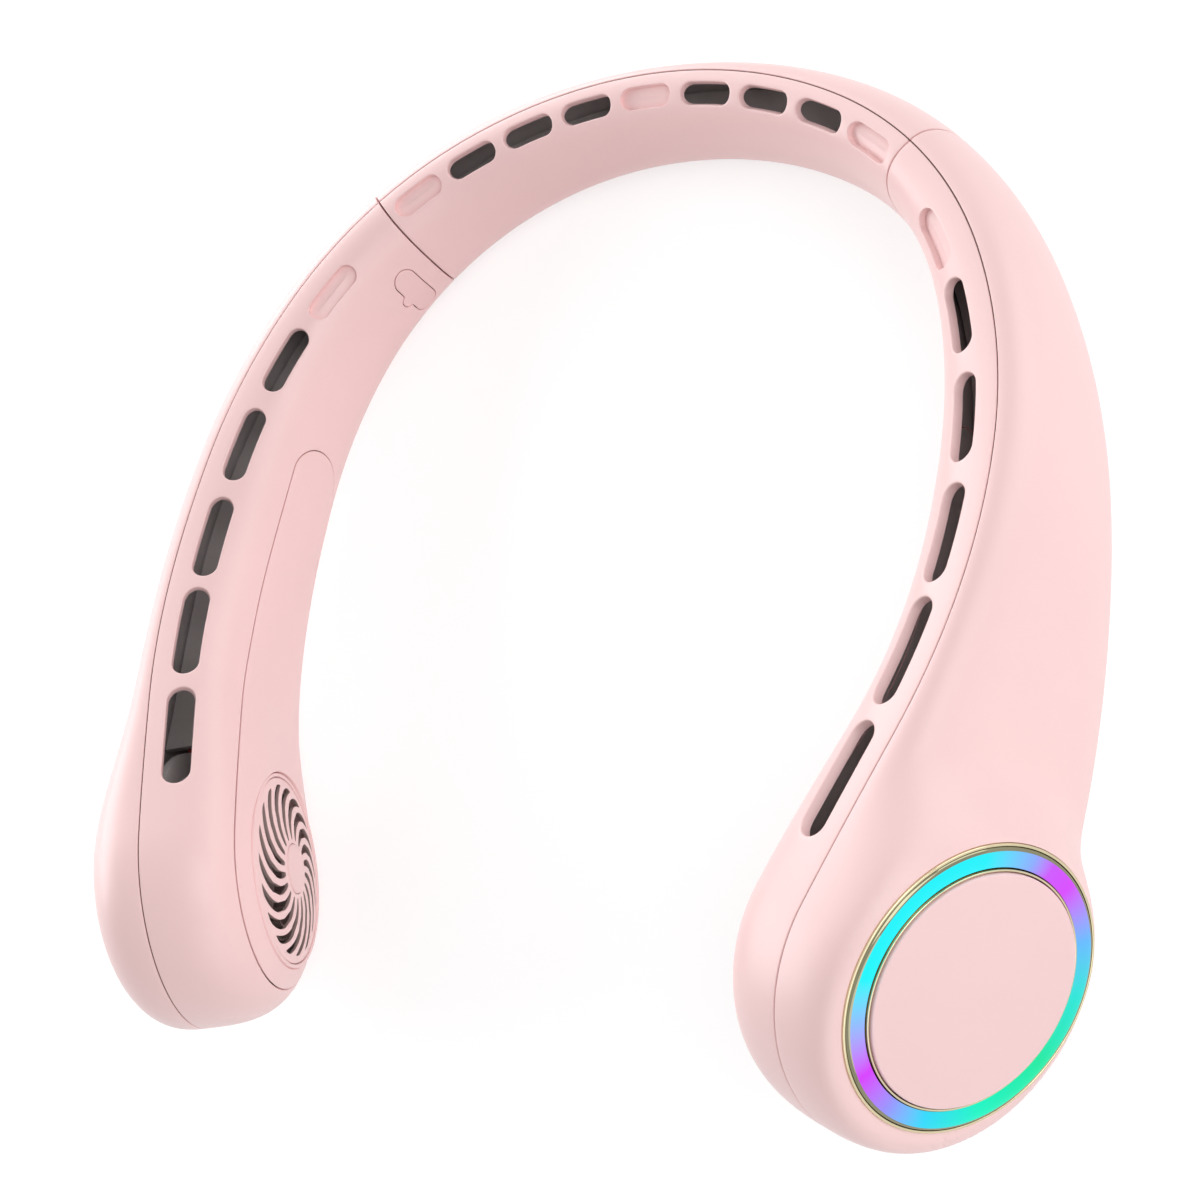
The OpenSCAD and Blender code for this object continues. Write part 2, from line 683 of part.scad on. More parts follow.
// Impeller: a cup over the can, a back plate, curved blades and a front ring
hub_wall = 0.8;
hub_gap = 0.05;
plate_top = -3.8;
plate_t = 1;
blade_inner_r = 0.645 * impeller_r;
blade_t = 0.7;
blade_front = -14.4;
blade_sweep_angle = 34;
front_ring_t = 0.8;
front_ring_w = 1.9;
module blade() {
    width = blade_t / impeller_r * 180 / PI;
    swept_slot(blade_inner_r, impeller_r - slip_gap, 1.3 * width, width, blade_sweep_angle);
}
module impeller() {
    hub_r = can_r + hub_gap + hub_wall;
    color([0.9, 0.88, 0.88]) at_pod() {
        difference() {
            union() {
                disc(hub_r, can_top - hub_gap - hub_wall, plate_top);
                disc(impeller_r, plate_top - plate_t, plate_top);
            }
            disc(can_r + hub_gap, can_top - hub_gap, plate_top + overrun);
        }
        for (i = [0:blades - 1])
            rotate([0, 0, 360 * i / blades])
                translate([0, 0, blade_front])
                    linear_extrude(plate_top - plate_t / 2 - blade_front) blade();
        ring(impeller_r, impeller_r - front_ring_w, blade_front - front_ring_t / 2,
             blade_front + front_ring_t / 2);
    }
}

// Light face: a carrier in the right shell's round mouth holds the switch, the channel and the ring
carrier_bottom = -6.8;
carrier_t = 1.2;
channel_bottom = -4.4;
channel_floor = 0.8;
lip_t = 0.6;
inner_lip_t = 0.5;
disc_gap = 0.2;
switch_board_r = 0.41 * pod_r;
dome_r = 3;
dome_t = 0.6;
stem_r = 2;
led_count = 12;
led_w = 1.6;
led_t = 0.7;
inner_lip_r = disc_r + disc_gap + inner_lip_t;
module face_carrier() {
    color(duct_grey) {
        at_face() {
            disc(bezel_r, carrier_bottom, carrier_bottom + carrier_t);
            ring(bezel_r, disc_r + disc_gap, carrier_bottom + carrier_t / 2, channel_bottom);
        }
        at_pod() for (a = post_angles) {
            x = post_place_r * cos(a);
            top = face_height + carrier_bottom + tan(face_turn) * (x - face_back);
            rotate([0, 0, a]) translate([post_place_r, 0, 0]) difference() {
                disc(post_r, chassis_top, top + carrier_t / 2);
                disc(screw_r, chassis_top - overrun, chassis_top + 5 * screw_r);
            }
        }
    }
}
module switch_board() {
    color(board_green) at_face() {
        disc(switch_board_r, carrier_bottom + carrier_t, carrier_bottom + carrier_t + board_t);
        disc(dome_r, carrier_bottom + carrier_t + board_t / 2,
             carrier_bottom + carrier_t + board_t + dome_t);
    }
}
module light_bezel() {
    color("silver") at_face() {
        ring(bezel_r, disc_r + disc_gap, channel_bottom, channel_bottom + channel_floor);
        ring(bezel_r, bezel_r - lip_t, channel_bottom + channel_floor / 2, 0);
        ring(inner_lip_r, disc_r + disc_gap, channel_bottom + channel_floor / 2, -lip_drop);
    }
}
led_bottom = channel_bottom + channel_floor;
module led_board() {
    color("white") at_face() {
        ring(bezel_r - lip_t - slip_gap, inner_lip_r + slip_gap, led_bottom, led_bottom + led_t);
        for (i = [0:led_count - 1])
            rotate([0, 0, 360 * i / led_count])
                translate([(bezel_r - lip_t + inner_lip_r - led_w) / 2, -led_w / 2,
                           led_bottom + led_t / 2])
                    cube([led_w, led_w, led_t]);
    }
}
module light_ring() {
    bottom = led_bottom + 2 * led_t;
    outer = bezel_r - lip_t - slip_gap;
    inner = inner_lip_r + slip_gap;
    half_w = (outer - inner) / 2;
    crown = 0.9;
    color([0, 0.9, 1]) at_face() rotate_extrude($fn = 96)
        polygon(concat(
            [[inner, bottom], [outer, bottom]],
            [for (i = [0:8])
                [(outer + inner) / 2 + half_w * cos(180 * i / 8),
                 -lip_drop - crown + crown * sin(180 * i / 8)]]));
}
module press_disc() {
    plate = 1.5;
    top = -lip_drop / 2;
    stem_end = carrier_bottom + carrier_t + board_t + dome_t + disc_travel + slip_gap;
    color(disc_pink) at_face() {
        disc(disc_r, top - plate, top);
        disc(stem_r, stem_end, top - plate / 2);
    }
}

// Inside the arms and the back section

divider_start = 0.372 * pod_path;
divider_end = 0.865 * pod_path;
divider_rows = 16;
divider_t = 1.2;
module strip(rows) {
    n = len(rows) - 1;
    sides = [for (i = [0:n - 1], j = [0:3])
        each [[4 * i + j, 4 * i + 4 + (j + 1) % 4, 4 * i + (j + 1) % 4],
              [4 * i + j, 4 * i + 4 + j, 4 * i + 4 + (j + 1) % 4]]];
    caps = [[0, 1, 2], [0, 2, 3], [4 * n, 4 * n + 2, 4 * n + 1], [4 * n, 4 * n + 3, 4 * n + 2]];
    polyhedron([for (r = rows) each r], concat(sides, caps));
}
function strip_row(s, drop) =
    let (f = spine(abs(s)),
         top = -band_height(abs(s)) / 2 - drop,
         o = band_depth(abs(s), 1) - wall - 1.5 * seat_gap,
         i = band_depth(abs(s), -1) - wall - 1.5 * seat_gap,
         row = [for (c = [[-i, 0], [-i, -divider_t], [o, -divider_t], [o, 0]])
            f[0] + c[0] * f[3] + (top + c[1]) * f[2]])
    s < 0 ? across([row[3], row[2], row[1], row[0]]) : row;
module duct_divider() {
    color(duct_grey)
        strip([for (i = [0:divider_rows])
            strip_row(mix(divider_start, divider_end, i / divider_rows), 0)]);
}
neck_floor_gap = 12;
neck_floor_end = seam_path - neck_floor_gap;
module neck_duct_floor() {
    color(duct_grey)
        strip([for (i = [0:divider_rows])
            let (s = mix(-1, 1, i / divider_rows) * neck_floor_end,
                 row = strip_row(abs(s), 0))
            s < 0 ? across(row) : row]);
}

// Battery cell, under the divider
cell_path = 0.59 * pod_path;
cell_l = 42;
cell_w = 9;
cell_h = 11;
cell_round = 1.5;
cell_shift = -5;
module battery() {
    drop = -band_height(cell_path) / 2 - divider_t - seat_gap;
    fall = (band_height(cell_path + cell_l / 2) - band_height(cell_path - cell_l / 2)) / 2;
    color([0.55, 0.62, 0.7]) at_band(cell_path, cell_shift, drop) rotate([0, 0, atan(fall / cell_l)])
        translate([-cell_l / 2, 0, 0]) rotate([90, 0, 90]) linear_extrude(cell_l)
            union() {
                translate([-cell_h, -cell_w / 2 + cell_round]) square([cell_h, cell_w - 2 * cell_round]);
                translate([-cell_h + cell_round, -cell_w / 2]) square([cell_h - 2 * cell_round, cell_w]);
                for (x = [-cell_h + cell_round, -cell_round], y = [-1, 1])
                    translate([x, y * (cell_w / 2 - cell_round)]) circle(r = cell_round, $fn = 16);
            }
}

// Wire bundles, clipped along the inside of the band
wire_r = 1;
wire_sides = 8;
module bundle(centres, forwards) {
    n = len(centres) - 1;
    rings = [for (i = [0:n])
        let (side = unit(cross(forwards[i], [0, 0, 1])), up = cross(side, forwards[i]))
        [for (k = [0:wire_sides - 1])
            centres[i] + wire_r * (cos(360 * k / wire_sides) * side + sin(360 * k / wire_sides) * up)]];
    sides = [for (i = [0:n - 1], j = [0:wire_sides - 1])
        let (a = wire_sides * i + j, b = wire_sides * i + (j + 1) % wire_sides)
        each [[a, b, b + wire_sides], [a, b + wire_sides, a + wire_sides]]];
    caps = [for (j = [1:wire_sides - 2])
        each [[0, j + 1, j], [wire_sides * n, wire_sides * n + j, wire_sides * n + j + 1]]];
    polyhedron([for (r = rings) each r], concat(sides, caps));
}
// The arm's bundle runs from the charging board, round the battery, to the driver board.
// Its stops are shares of that run, and its places outward are shares of the arm's outer depth.
wire_start_gap = 4.8;
arm_wire_start = port_path + wire_start_gap;
arm_wire_end = pod_path - driver_r + wire_r;
wire_stop_shares = [0, 0.06, 0.15, 0.27, 0.61, 0.78, 0.89, 1];
wire_out_shares = [-0.06, 0.1, 0.42, 0.55, 0.55, 0.36, 0.2, 0.19];
arm_wire_rows = 30;
// The bundles hang from the floor of the duct
function wire_up(s) = -band_height(s) / 2 - divider_t - wire_r - slip_gap;
module harness() {
    wire_stops = [for (share = wire_stop_shares) mix(arm_wire_start, arm_wire_end, share)];
    wire_outs = [for (share = wire_out_shares) share * arm_outer];
    stations = [for (i = [0:arm_wire_rows]) mix(arm_wire_start, arm_wire_end, i / arm_wire_rows)];
    color("firebrick") bundle(
        [for (s = stations) let (f = spine(s))
            f[0] + flow(s, wire_stops, wire_outs) * f[3]
                + wire_up(s) * f[2]],
        [for (s = stations) spine(s)[1]]);
}
neck_wire_gap = 10;
neck_wire_end = seam_path - neck_wire_gap;
neck_wire_out = -2.2;
neck_wire_rows = 24;
module neck_harness() {
    stations = [for (i = [0:neck_wire_rows]) mix(-1, 1, i / neck_wire_rows) * neck_wire_end];
    color("firebrick") bundle(
        [for (s = stations)
            let (f = spine(abs(s)), p = f[0] + neck_wire_out * f[3] + wire_up(abs(s)) * f[2])
            [sign(s) * p[0], p[1], p[2]]],
        [for (s = stations) let (t = spine(abs(s))[1]) s < 0 ? [t[0], -t[1], t[2]] : t]);
}

// Arm hinge: a pin in two knuckles of the back section, with the arm's knuckle between them
hinge_h = 9;
leaf_h = 4;
leaf_gap = 0.12;
plate_l = 9.5;
plate_w = 1.1;
hinge_up = -0.513 * corner_height;
module at_hinge() {
    f = spine(seam_path);
    out = unit([f[3][0], f[3][1], 0]);
    o = f[0] + hinge_up * [0, 0, 1] + pin_out * out;
    multmatrix([[-f[1][0], out[0], 0, o[0]],
                [-f[1][1], out[1], 0, o[1]],
                [0, 0, -1, o[2]]]) children();
}
module knuckle(bottom, top, way) {
    difference() {
        union() {
            disc(knuckle_r, bottom, top);
            translate([way < 0 ? -plate_l : 0, 0, bottom]) cube([plate_l, plate_w, top - bottom]);
        }
        disc(pin_r + pin_clear, bottom - overrun, top + overrun);
    }
}
module hinge_bracket() {
    color(steel) at_hinge() {
        knuckle(-hinge_h / 2, -leaf_h / 2 - leaf_gap, 1);
        knuckle(leaf_h / 2 + leaf_gap, hinge_h / 2, 1);
        translate([2 * knuckle_r, 0, -hinge_h / 2]) cube([plate_l - 2 * knuckle_r, plate_w, hinge_h]);
    }
}
module hinge_leaf() {
    color(steel) at_hinge() {
        knuckle(-leaf_h / 2, leaf_h / 2, -1);
        translate([-plate_l, 0, -hinge_h / 2]) cube([plate_l - 2 * knuckle_r, plate_w, hinge_h]);
    }
}
module hinge_pin() {
    color(steel) at_hinge() disc(pin_r, -hinge_h / 2, hinge_h / 2);
}

// Duct sleeve: it closes the inner side of the band behind the seam when the arm opens
sleeve_back = 8;
sleeve_ahead = 3.5;
sleeve_start = seam_path - sleeve_back;
sleeve_end = seam_path + sleeve_ahead;
sleeve_turn = 18;
sleeve_rows = 6;
sleeve_t = 0.9;
sleeve_clear = 0.8;
module duct_sleeve() {
    angles = [for (j = [0:12]) mix(sleeve_turn, 180 - sleeve_turn, j / 12)];
    function inset(s) =
        wall + mix(seat_gap, sleeve_clear, ease((s - sleeve_start) / (seam_path - sleeve_start)));
    stations = [for (i = [0:sleeve_rows]) mix(sleeve_start, sleeve_end, i / sleeve_rows)];
    color(duct_grey) thin_shell(
        [for (s = stations) section(s, -1, angles, inset(s))],
        [for (s = stations) section(s, -1, angles, inset(s) + sleeve_t)], flip = true);
}

// Charging port, on the inner side of the left arm
socket_w = 3.3;
socket_l = 9;
socket_depth = 7;
socket_wall = 0.35;
tongue_t = 0.7;
tongue_l = 5;
socket_drop = 1.1;
module socket_outline(w, l, depth) {
    linear_extrude(depth) union() {
        square([w, l - w], center = true);
        for (y = [-1, 1]) translate([0, y * (l - w) / 2]) circle(r = w / 2, $fn = 24);
    }
}
module usb_socket() {
    top = -cover_t - socket_drop;
    color(steel) on_inner_skin(port_path, tab_share) {
        difference() {
            translate([0, 0, top - socket_depth]) socket_outline(socket_w, socket_l, socket_depth);
            translate([0, 0, top - socket_depth + 2 * socket_wall])
                socket_outline(socket_w - 2 * socket_wall, socket_l - 2 * socket_wall, socket_depth);
        }
        translate([-tongue_t / 2, -socket_l / 3, top - socket_depth + socket_wall])
            cube([tongue_t, 2 * socket_l / 3, tongue_l]);
    }
}
charge_board_w = 8;
module charge_board() {
    top = -cover_t - socket_drop;
    color(board_green) on_inner_skin(port_path, tab_share) {
        translate([-socket_w / 2 - board_t, -charge_board_w * 0.6, top - socket_depth])
            cube([board_t, charge_board_w * 1.2, charge_board_w * 0.8]);
        translate([-socket_w / 2 - board_t - chip_t, -chip_w / 2, top - socket_depth + chip_t])
            cube([chip_t + board_t / 2, chip_w, chip_w]);
    }
}
// The cover bends about a fine round bead, a little in from its rear edge
bead_r = 0.15;
bead_l = 3;
bead_inset = 0.55;
module port_cover() {
    color(shell_pink) {
        patch(cover_rows_at(0), 0, cover_t);
        tab_outline(0, 0, -cover_t);
        on_inner_skin(port_path, tab_share) translate([cover_w / 2 - bead_inset, -bead_l / 2, 0])
            rotate([-90, 0, 0]) cylinder(r = bead_r, h = bead_l);
    }
}

// Laying on the table: the worn band leans back until its back and its pods touch the plane
pod_skin = [for (i = [0:18], side = [-1, 1])
    each section(pod_path + pod_r * sin(5 * i), side, fan_of_angles(36))];
neck_skin = [for (i = [0:4], side = [-1, 1])
    each section(corner_path * i / 4, side, fan_of_angles(36))];
function height(p, lean) = cos(lean) * p[2] - sin(lean) * p[1];
function reach(p, lean) = cos(lean) * p[1] + sin(lean) * p[2];
function lowest(points, lean) = min([for (p = points) height(p, lean)]);
function settled(low, high, tries) =
    let (lean = (low + high) / 2)
    tries == 0 ? lean :
    lowest(neck_skin, lean) > lowest(pod_skin, lean) + foot_flat
        ? settled(lean, high, tries - 1) : settled(low, lean, tries - 1);
steepest_lean_angle = 30;
settle_tries = 18;
rest_lean = settled(0, steepest_lean_angle, settle_tries);
lift = -lowest(pod_skin, rest_lean) - foot_flat;
back_y = max([for (p = neck_skin) reach(p, rest_lean)]);
front_y = min([for (p = pod_skin) reach(p, rest_lean)]);
// The light face reaches further out than the plain pod, so the band stands a little to the left
face_normal = cos(face_turn) * pod_spine[3] + sin(face_turn) * pod_spine[1];
face_middle = pod_centre - face_back * pod_spine[1] + face_up * pod_spine[2] + face_height * pod_spine[3];
right_reach = face_middle[0] + bezel_r * sqrt(1 - face_normal[0] * face_normal[0]);
arm_skin = [for (i = [1:arm_rows]) each section(arm_row_path(i, 0), 1, fan_of_angles(36))];
left_reach = max([for (p = concat(arm_skin, pod_skin)) p[0]]);
module laid_out() {
    translate([(left_reach - right_reach) / 2, -(back_y + front_y) / 2, lift])
        rotate([-rest_lean, 0, 0])
            children();
}
module table_cut() {
    difference() {
        children();
        translate([-2 * pod_path, -2 * pod_path, -foot_flat - overrun])
            cube([4 * pod_path, 4 * pod_path, foot_flat + overrun]);
    }
}
module mirrored() { mirror([1, 0, 0]) children(); }
module middle() { laid_out() children(); }
module right() { laid_out() children(); }
module left() { laid_out() mirrored() children(); }

middle() neck_outer_shell();
middle() neck_vent_shell();
middle() neck_duct_floor();
middle() neck_harness();
left() duct_sleeve();  // left_duct_sleeve
right() duct_sleeve();  // right_duct_sleeve
left() hinge_bracket();  // left_hinge_bracket
right() hinge_bracket();  // right_hinge_bracket
left() hinge_pin();  // left_hinge_pin
right() hinge_pin();  // right_hinge_pin
left() dome_shell();  // left_outer_shell
table_cut() left() vent_shell(true);  // left_vent_shell
left() inner_panel();  // left_inner_panel
left() intake_grille();  // left_intake_grille
left() duct_divider();  // left_duct_divider
left() battery();  // left_battery
left() harness();  // left_harness
left() hinge_leaf();  // left_hinge_leaf
left() fan_chassis();  // left_fan_chassis
left() chassis_screws();  // left_chassis_screws
left() driver_board();  // left_driver_board
left() motor_stator();  // left_motor_stator
left() motor_bearings();  // left_motor_bearings
left() motor_shaft();  // left_motor_shaft
left() rotor_can();  // left_rotor_can
left() rotor_magnets();  // left_rotor_magnets
left() impeller();  // left_impeller
left() usb_socket();  // left_usb_socket
left() charge_board();  // left_charge_board
left() port_cover();  // left_port_cover
right() mouth_shell();  // right_outer_shell
table_cut() right() vent_shell(false);  // right_vent_shell
right() inner_panel();  // right_inner_panel
right() intake_grille();  // right_intake_grille
right() duct_divider();  // right_duct_divider
right() battery();  // right_battery
right() harness();  // right_harness
right() hinge_leaf();  // right_hinge_leaf
right() fan_chassis();  // right_fan_chassis
right() chassis_screws();  // right_chassis_screws
right() driver_board();  // right_driver_board
right() motor_stator();  // right_motor_stator
right() motor_bearings();  // right_motor_bearings
right() motor_shaft();  // right_motor_shaft
right() rotor_can();  // right_rotor_can
right() rotor_magnets();  // right_rotor_magnets
right() impeller();  // right_impeller
right() face_carrier();  // right_face_carrier
right() switch_board();  // right_switch_board
right() light_bezel();  // right_light_bezel
right() led_board();  // right_led_board
right() light_ring();  // right_light_ring
right() press_disc();  // right_press_disc
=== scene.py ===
"""A bladeless neck fan in satin pink plastic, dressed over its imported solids."""
import json
import math

import bmesh
import bpy
import numpy as np
from mathutils import Matrix, Vector
from mathutils.geometry import delaunay_2d_cdt


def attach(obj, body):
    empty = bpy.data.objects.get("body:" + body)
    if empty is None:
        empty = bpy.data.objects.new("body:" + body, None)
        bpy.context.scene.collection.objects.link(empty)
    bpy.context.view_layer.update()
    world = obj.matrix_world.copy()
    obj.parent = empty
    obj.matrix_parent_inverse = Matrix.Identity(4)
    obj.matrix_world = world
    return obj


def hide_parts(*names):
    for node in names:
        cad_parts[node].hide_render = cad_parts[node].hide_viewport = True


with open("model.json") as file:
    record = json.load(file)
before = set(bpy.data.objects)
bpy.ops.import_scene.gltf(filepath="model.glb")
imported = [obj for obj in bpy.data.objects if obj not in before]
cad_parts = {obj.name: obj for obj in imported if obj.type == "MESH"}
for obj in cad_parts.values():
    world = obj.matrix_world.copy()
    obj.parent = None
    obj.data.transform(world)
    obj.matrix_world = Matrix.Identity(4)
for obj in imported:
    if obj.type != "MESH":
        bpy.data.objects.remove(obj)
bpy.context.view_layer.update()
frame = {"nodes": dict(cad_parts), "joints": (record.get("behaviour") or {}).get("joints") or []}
joints = {joint["name"]: joint for joint in frame["joints"]}

# Lengths are in millimetres until a mesh is made
MM = 0.001

# Path and section of the band, as in the solids
ARC_RADII = (92, 77, 100, 140)
ARC_TURNS = (28, 36.5, 22, 22)
SEAM_PATH = 66
POD_PATH = 215
POD_R = 28.5
STOPS = (0, 60.2, 135.02, 179.955, POD_PATH)
HEIGHTS = (23, 26.5, 35, 46, 2 * POD_R)
INNER_DEPTHS = (9.2, 8.8, 16.5, 18, 20.8)
OUTER_DEPTHS = (5, 8, 8, 8, 15.5)
INNER_POWERS = (2.6, 3.3)
OUTER_POWERS = (2, 2.55)
ARM_PATH = 135.02
POD_LEAN = 18
LEAN_START = 39.99
POD_RISE = 3.3
RISE_START = 130.075
WALL = 1.6
SEAM_GAP = 0.25
SECTION_GAP = 0.4
PANEL_GAP = 0.2

# Light face of the right pod: heights run outwards from the lip of its channel
BEZEL_R = 24.3
DISC_R = 19.7
FACE_BACK = 1
FACE_UP = 0
FACE_HEIGHT = 12.5
FACE_TURN = math.radians(7)
# The pod's skin is drawn up to the channel over this width, and less where it lies low
FLARE_W = 13
FLARE_FADE = 8
LIP_DROP = 0.3
BEZEL_BOTTOM = -4.4
OUTER_LIP_W = 0.45
INNER_LIP_W = 0.35
CHANNEL_TOP = -1.2
CHANNEL_DEPTH = 2.2
BEAD_MIDDLE = -0.7
BEAD_RISE = 1.15
BEAD_PRESS = 0.02
BEAD_SQUARENESS = 0.6
# Turns over the bead's section between which it is lit, as shares of a half turn
LIT_FROM_SHARE = 0.26
LIT_TO_SHARE = 0.78
DISC_GAP = 0.2
DISC_RISE = 0.9
DISC_EDGE_DROP = 0.45
DISC_BOTTOM = -1.6
STEM_R = 2
STEM_END = -2.5

# Pin of an arm's hinge, from the top seam
PIN_OUT = 3.8
HINGE_UP = -13.5945

# Slots
REAR_SLOT_W = 4.6
REAR_SLOT = 11.5
REAR_PITCH = 14.5
REAR_INSET = 4.7
# Slots on each side of the middle one, and which of the row are blind
REAR_SIDE_SLOTS = 4
BLIND_REAR_SLOTS = (-4, 0, 4)
ARM_INSET = 6.6
BLIND_DEPTH = 1.2
SLOT_FILLET = 0.3
BLIND_FILLET = 0.15
ARM_SLOT_SHARES = (0.405, 0.492, 0.591, 0.694, 0.797, 0.907)
ARM_SLOT_LENGTHS = (13.3, 20.8)
ARM_SLOT_WIDTHS = (4.6, 5.8)

# Inner panel
PANEL_START = 127.925
PANEL_MARGIN = 9
POD_PANEL_MARGIN = 5.7
PANEL_SWELL = 164.905
PANEL_FILLET = 0.18
EDGE_FILLET = 0.15

# Port cover
COVER_WALL = 1.1
PORT_PATH = 73.8
COVER_W = 5.8
COVER_TOP = 9.6
COVER_BOTTOM = 23.6
TAB_OUT = 1.6
TAB_HALF = 1.5
TAB_FOOT = 0.5
TAB_FOOT_OUT = 0.15
TAB_FOOT_UP = 0.12
COVER_FILLET = 0.22

# Intake grille
GRILLE_R = 19.6
GRILLE_FORWARD = -0.8
GRILLE_UP = -0.6
GRILLE_RIM = -19.4
DOME_RISE = 2.1
GRILLE_STEP = 0.4
GRILLE_SLOTS = 18
GRILLE_WALL = 0.8
HUB_R = 5.9
SLOT_OUTER = 17.1
SLOT_SWEEP = math.radians(-38)
# Width of a grille slot as a share of the pitch, at the hub and at the ring
OPEN_SHARES = (0.5, 0.62)
OVAL_SQUARENESS = 0.42
GRILLE_STEP_W = 1.05
HUB_EDGE_SHARE = 0.86
HUB_RAISE = 0.12

# Dark bar behind the seams, from the edge inwards: painted shade in the gaps. The dark backing behind the
# gaps round inset pieces is painted shade too
SHADE_BAR_START = 0.28
SHADE_BAR_END = 1.5
SHADE_BAR_HALF_T = 0.3
BACKING_HALF_W = 0.5
BACKING_TOP = 0.75
BACKING_BOTTOM = 1.3

# Mesh spacing: distances to the edges are in steps of the grid
STEP = 1.1
COVER_STEP = 0.8
GRILLE_MESH_STEP = 0.9
RIM_CLEAR_STEPS = 0.45
HOLE_CLEAR_STEPS = 1.9
RING_STEPS = (0.5, 1.35)
MERGE_DISTANCE_M = 0.000002


def ease(t):
    """A smooth step from 0 to 1: three squares less two cubes of t."""
    t = np.clip(t, 0, 1)
    return t * t * (3 - 2 * t)


def mix(a, b, t):
    """The value at share t of the way from a to b."""
    return a + (b - a) * t


def dot(a, b):
    """Dot products along the last axis."""
    return np.sum(a * b, axis=-1)


def flow(x, values):
    """A cubic through the values at the stops: each slope is that of the line between the neighbours."""
    xs = np.array(STOPS, float)
    ys = np.array(values, float)
    slopes = np.zeros(len(xs))
    slopes[1:-1] = (ys[2:] - ys[:-2]) / (xs[2:] - xs[:-2])
    x = np.clip(x, xs[0], xs[-1])
    i = np.clip(np.searchsorted(xs, x, side="right") - 1, 0, len(xs) - 2)
    run = xs[i + 1] - xs[i]
    t = (x - xs[i]) / run
    return (mix(ys[i], ys[i + 1], ease(t)) + run * slopes[i] * t * (1 - t) ** 2
            - run * slopes[i + 1] * t * t * (1 - t))


def spine(s):
    """Frame of the band at path length s: arcs end to end, then straight. The section leans and rises
    towards the pod."""
    s = np.asarray(s, float)
    x, y, h, left = np.zeros_like(s), np.zeros_like(s), np.zeros_like(s), s
    for r, turn in zip(ARC_RADII, np.radians(ARC_TURNS)):
        step = np.minimum(left, r * turn)
        after = h + step / r
        x = x + r * (np.sin(after) - np.sin(h))
        y = y - r * (np.cos(h) - np.cos(after))
        h, left = after, left - step
    x = x + left * np.cos(h)
    y = y - left * np.sin(h)
    lean = math.radians(POD_LEAN) * ease((s - LEAN_START) / (POD_PATH - LEAN_START))
    rise = POD_RISE * ease((s - RISE_START) / (POD_PATH - RISE_START))
    zero = np.zeros_like(s)
    out = np.stack([np.sin(h), np.cos(h), zero], -1)
    up = np.stack([zero, zero, zero + 1], -1)
    cos, sin = np.cos(lean)[..., None], np.sin(lean)[..., None]
    return (np.stack([x, y, rise], -1), np.stack([np.cos(h), -np.sin(h), zero], -1),
            cos * up - sin * out, cos * out + sin * up)


def height(s):
    """Height of the band at path length s."""
    return flow(s, HEIGHTS)


def depth(s, side):
    """Depth of the band on its outer (1) or inner (-1) side, from the seam."""
    return flow(s, OUTER_DEPTHS if side > 0 else INNER_DEPTHS)


def power(s, side):
    """Power of the section's superellipse: fuller sections have a higher one."""
    powers = OUTER_POWERS if side > 0 else INNER_POWERS
    return mix(powers[0], powers[1], ease((s - ARM_PATH) / (POD_PATH - ARM_PATH)))


POD_O, POD_T, POD_W, POD_N = spine(float(POD_PATH))
POD_C = POD_O - POD_R * POD_W


def rest_of(s, side, inset, share):
    """Point of a section where share is the height as a share of the half height: a superellipse in depth."""
    s = np.asarray(s, float)
    d = np.clip((s - POD_PATH) / POD_R, 0, 1)
    chord = np.sqrt(1 - d * d)
    p = power(s, side)
    rho = np.minimum(np.sqrt(d * d + (chord * share) ** 2), 1)
    u = side * (SEAM_GAP / 2 + (depth(s, side) - inset - SEAM_GAP / 2) * (1 - rho ** p) ** (1 / p))
    half = height(s) / 2
    v = (half - inset) * chord * share - half
    shifted = np.where(s > POD_PATH, POD_PATH + (s - POD_PATH) * (POD_R - inset) / POD_R, s)
    o, _, w, n = spine(shifted)
    return o + v[..., None] * w + u[..., None] * n


def skin(s, a, side, inset=0, mouth=False):
    """Skin of the band at path length s and angle a from the top seam. With a mouth it is drawn up to
    the light ring."""
    s, a = np.broadcast_arrays(np.asarray(s, float), np.asarray(a, float))
    share = np.sign(np.cos(a)) * np.abs(np.cos(a)) ** (2 / power(s, side))
    point = rest_of(s, side, inset, share)
    if not mouth:
        return point
    q = (point if np.all(inset == 0) else rest_of(s, side, 0, share)) - POD_C
    x = -dot(q, POD_T) - FACE_BACK
    y = dot(q, POD_W) - FACE_UP
    z = dot(q, POD_N)
    near = np.clip((BEZEL_R + FLARE_W - np.hypot(x, y)) / FLARE_W, 0, 1)
    face = FACE_HEIGHT - LIP_DROP + math.tan(FACE_TURN) * x
    lift = near ** 2 * ease(z / FLARE_FADE) * (face - z)
    return point + lift[..., None] * POD_N


# The band lies on its pods and its back: the hinge of the right arm gives the lean and the shift
hinge = joints["right_arm_hinge"]
LEAN = math.atan2(abs(hinge["axis"][1]), abs(hinge["axis"][2]))
seam_o, _, _, seam_n = spine(float(SEAM_PATH))
level_out = seam_n * (1, 1, 0) / np.hypot(seam_n[0], seam_n[1])
pin = seam_o + np.array([0, 0, HINGE_UP]) + PIN_OUT * level_out
pin_now = np.array(hinge["pos_m"], float) / MM
TURN = np.array([[1, 0, 0], [0, math.cos(LEAN), math.sin(LEAN)], [0, -math.sin(LEAN), math.cos(LEAN)]])
SHIFT = pin_now - TURN @ pin


def laid(points):
    """Carries points from the worn place to the table: a turn about X and a shift."""
    return points @ TURN.T + SHIFT


def across(points):
    """The same points on the other arm."""
    return points * (-1, 1, 1) + (2 * SHIFT[0], 0, 0)


def pod_points(local, mirror=False):
    """Points given in a pod's frame, X back along the path, Y up the section and Z outward."""
    p = laid(POD_C - local[..., :1] * POD_T + local[..., 1:2] * POD_W + local[..., 2:] * POD_N)
    return across(p) if mirror else p


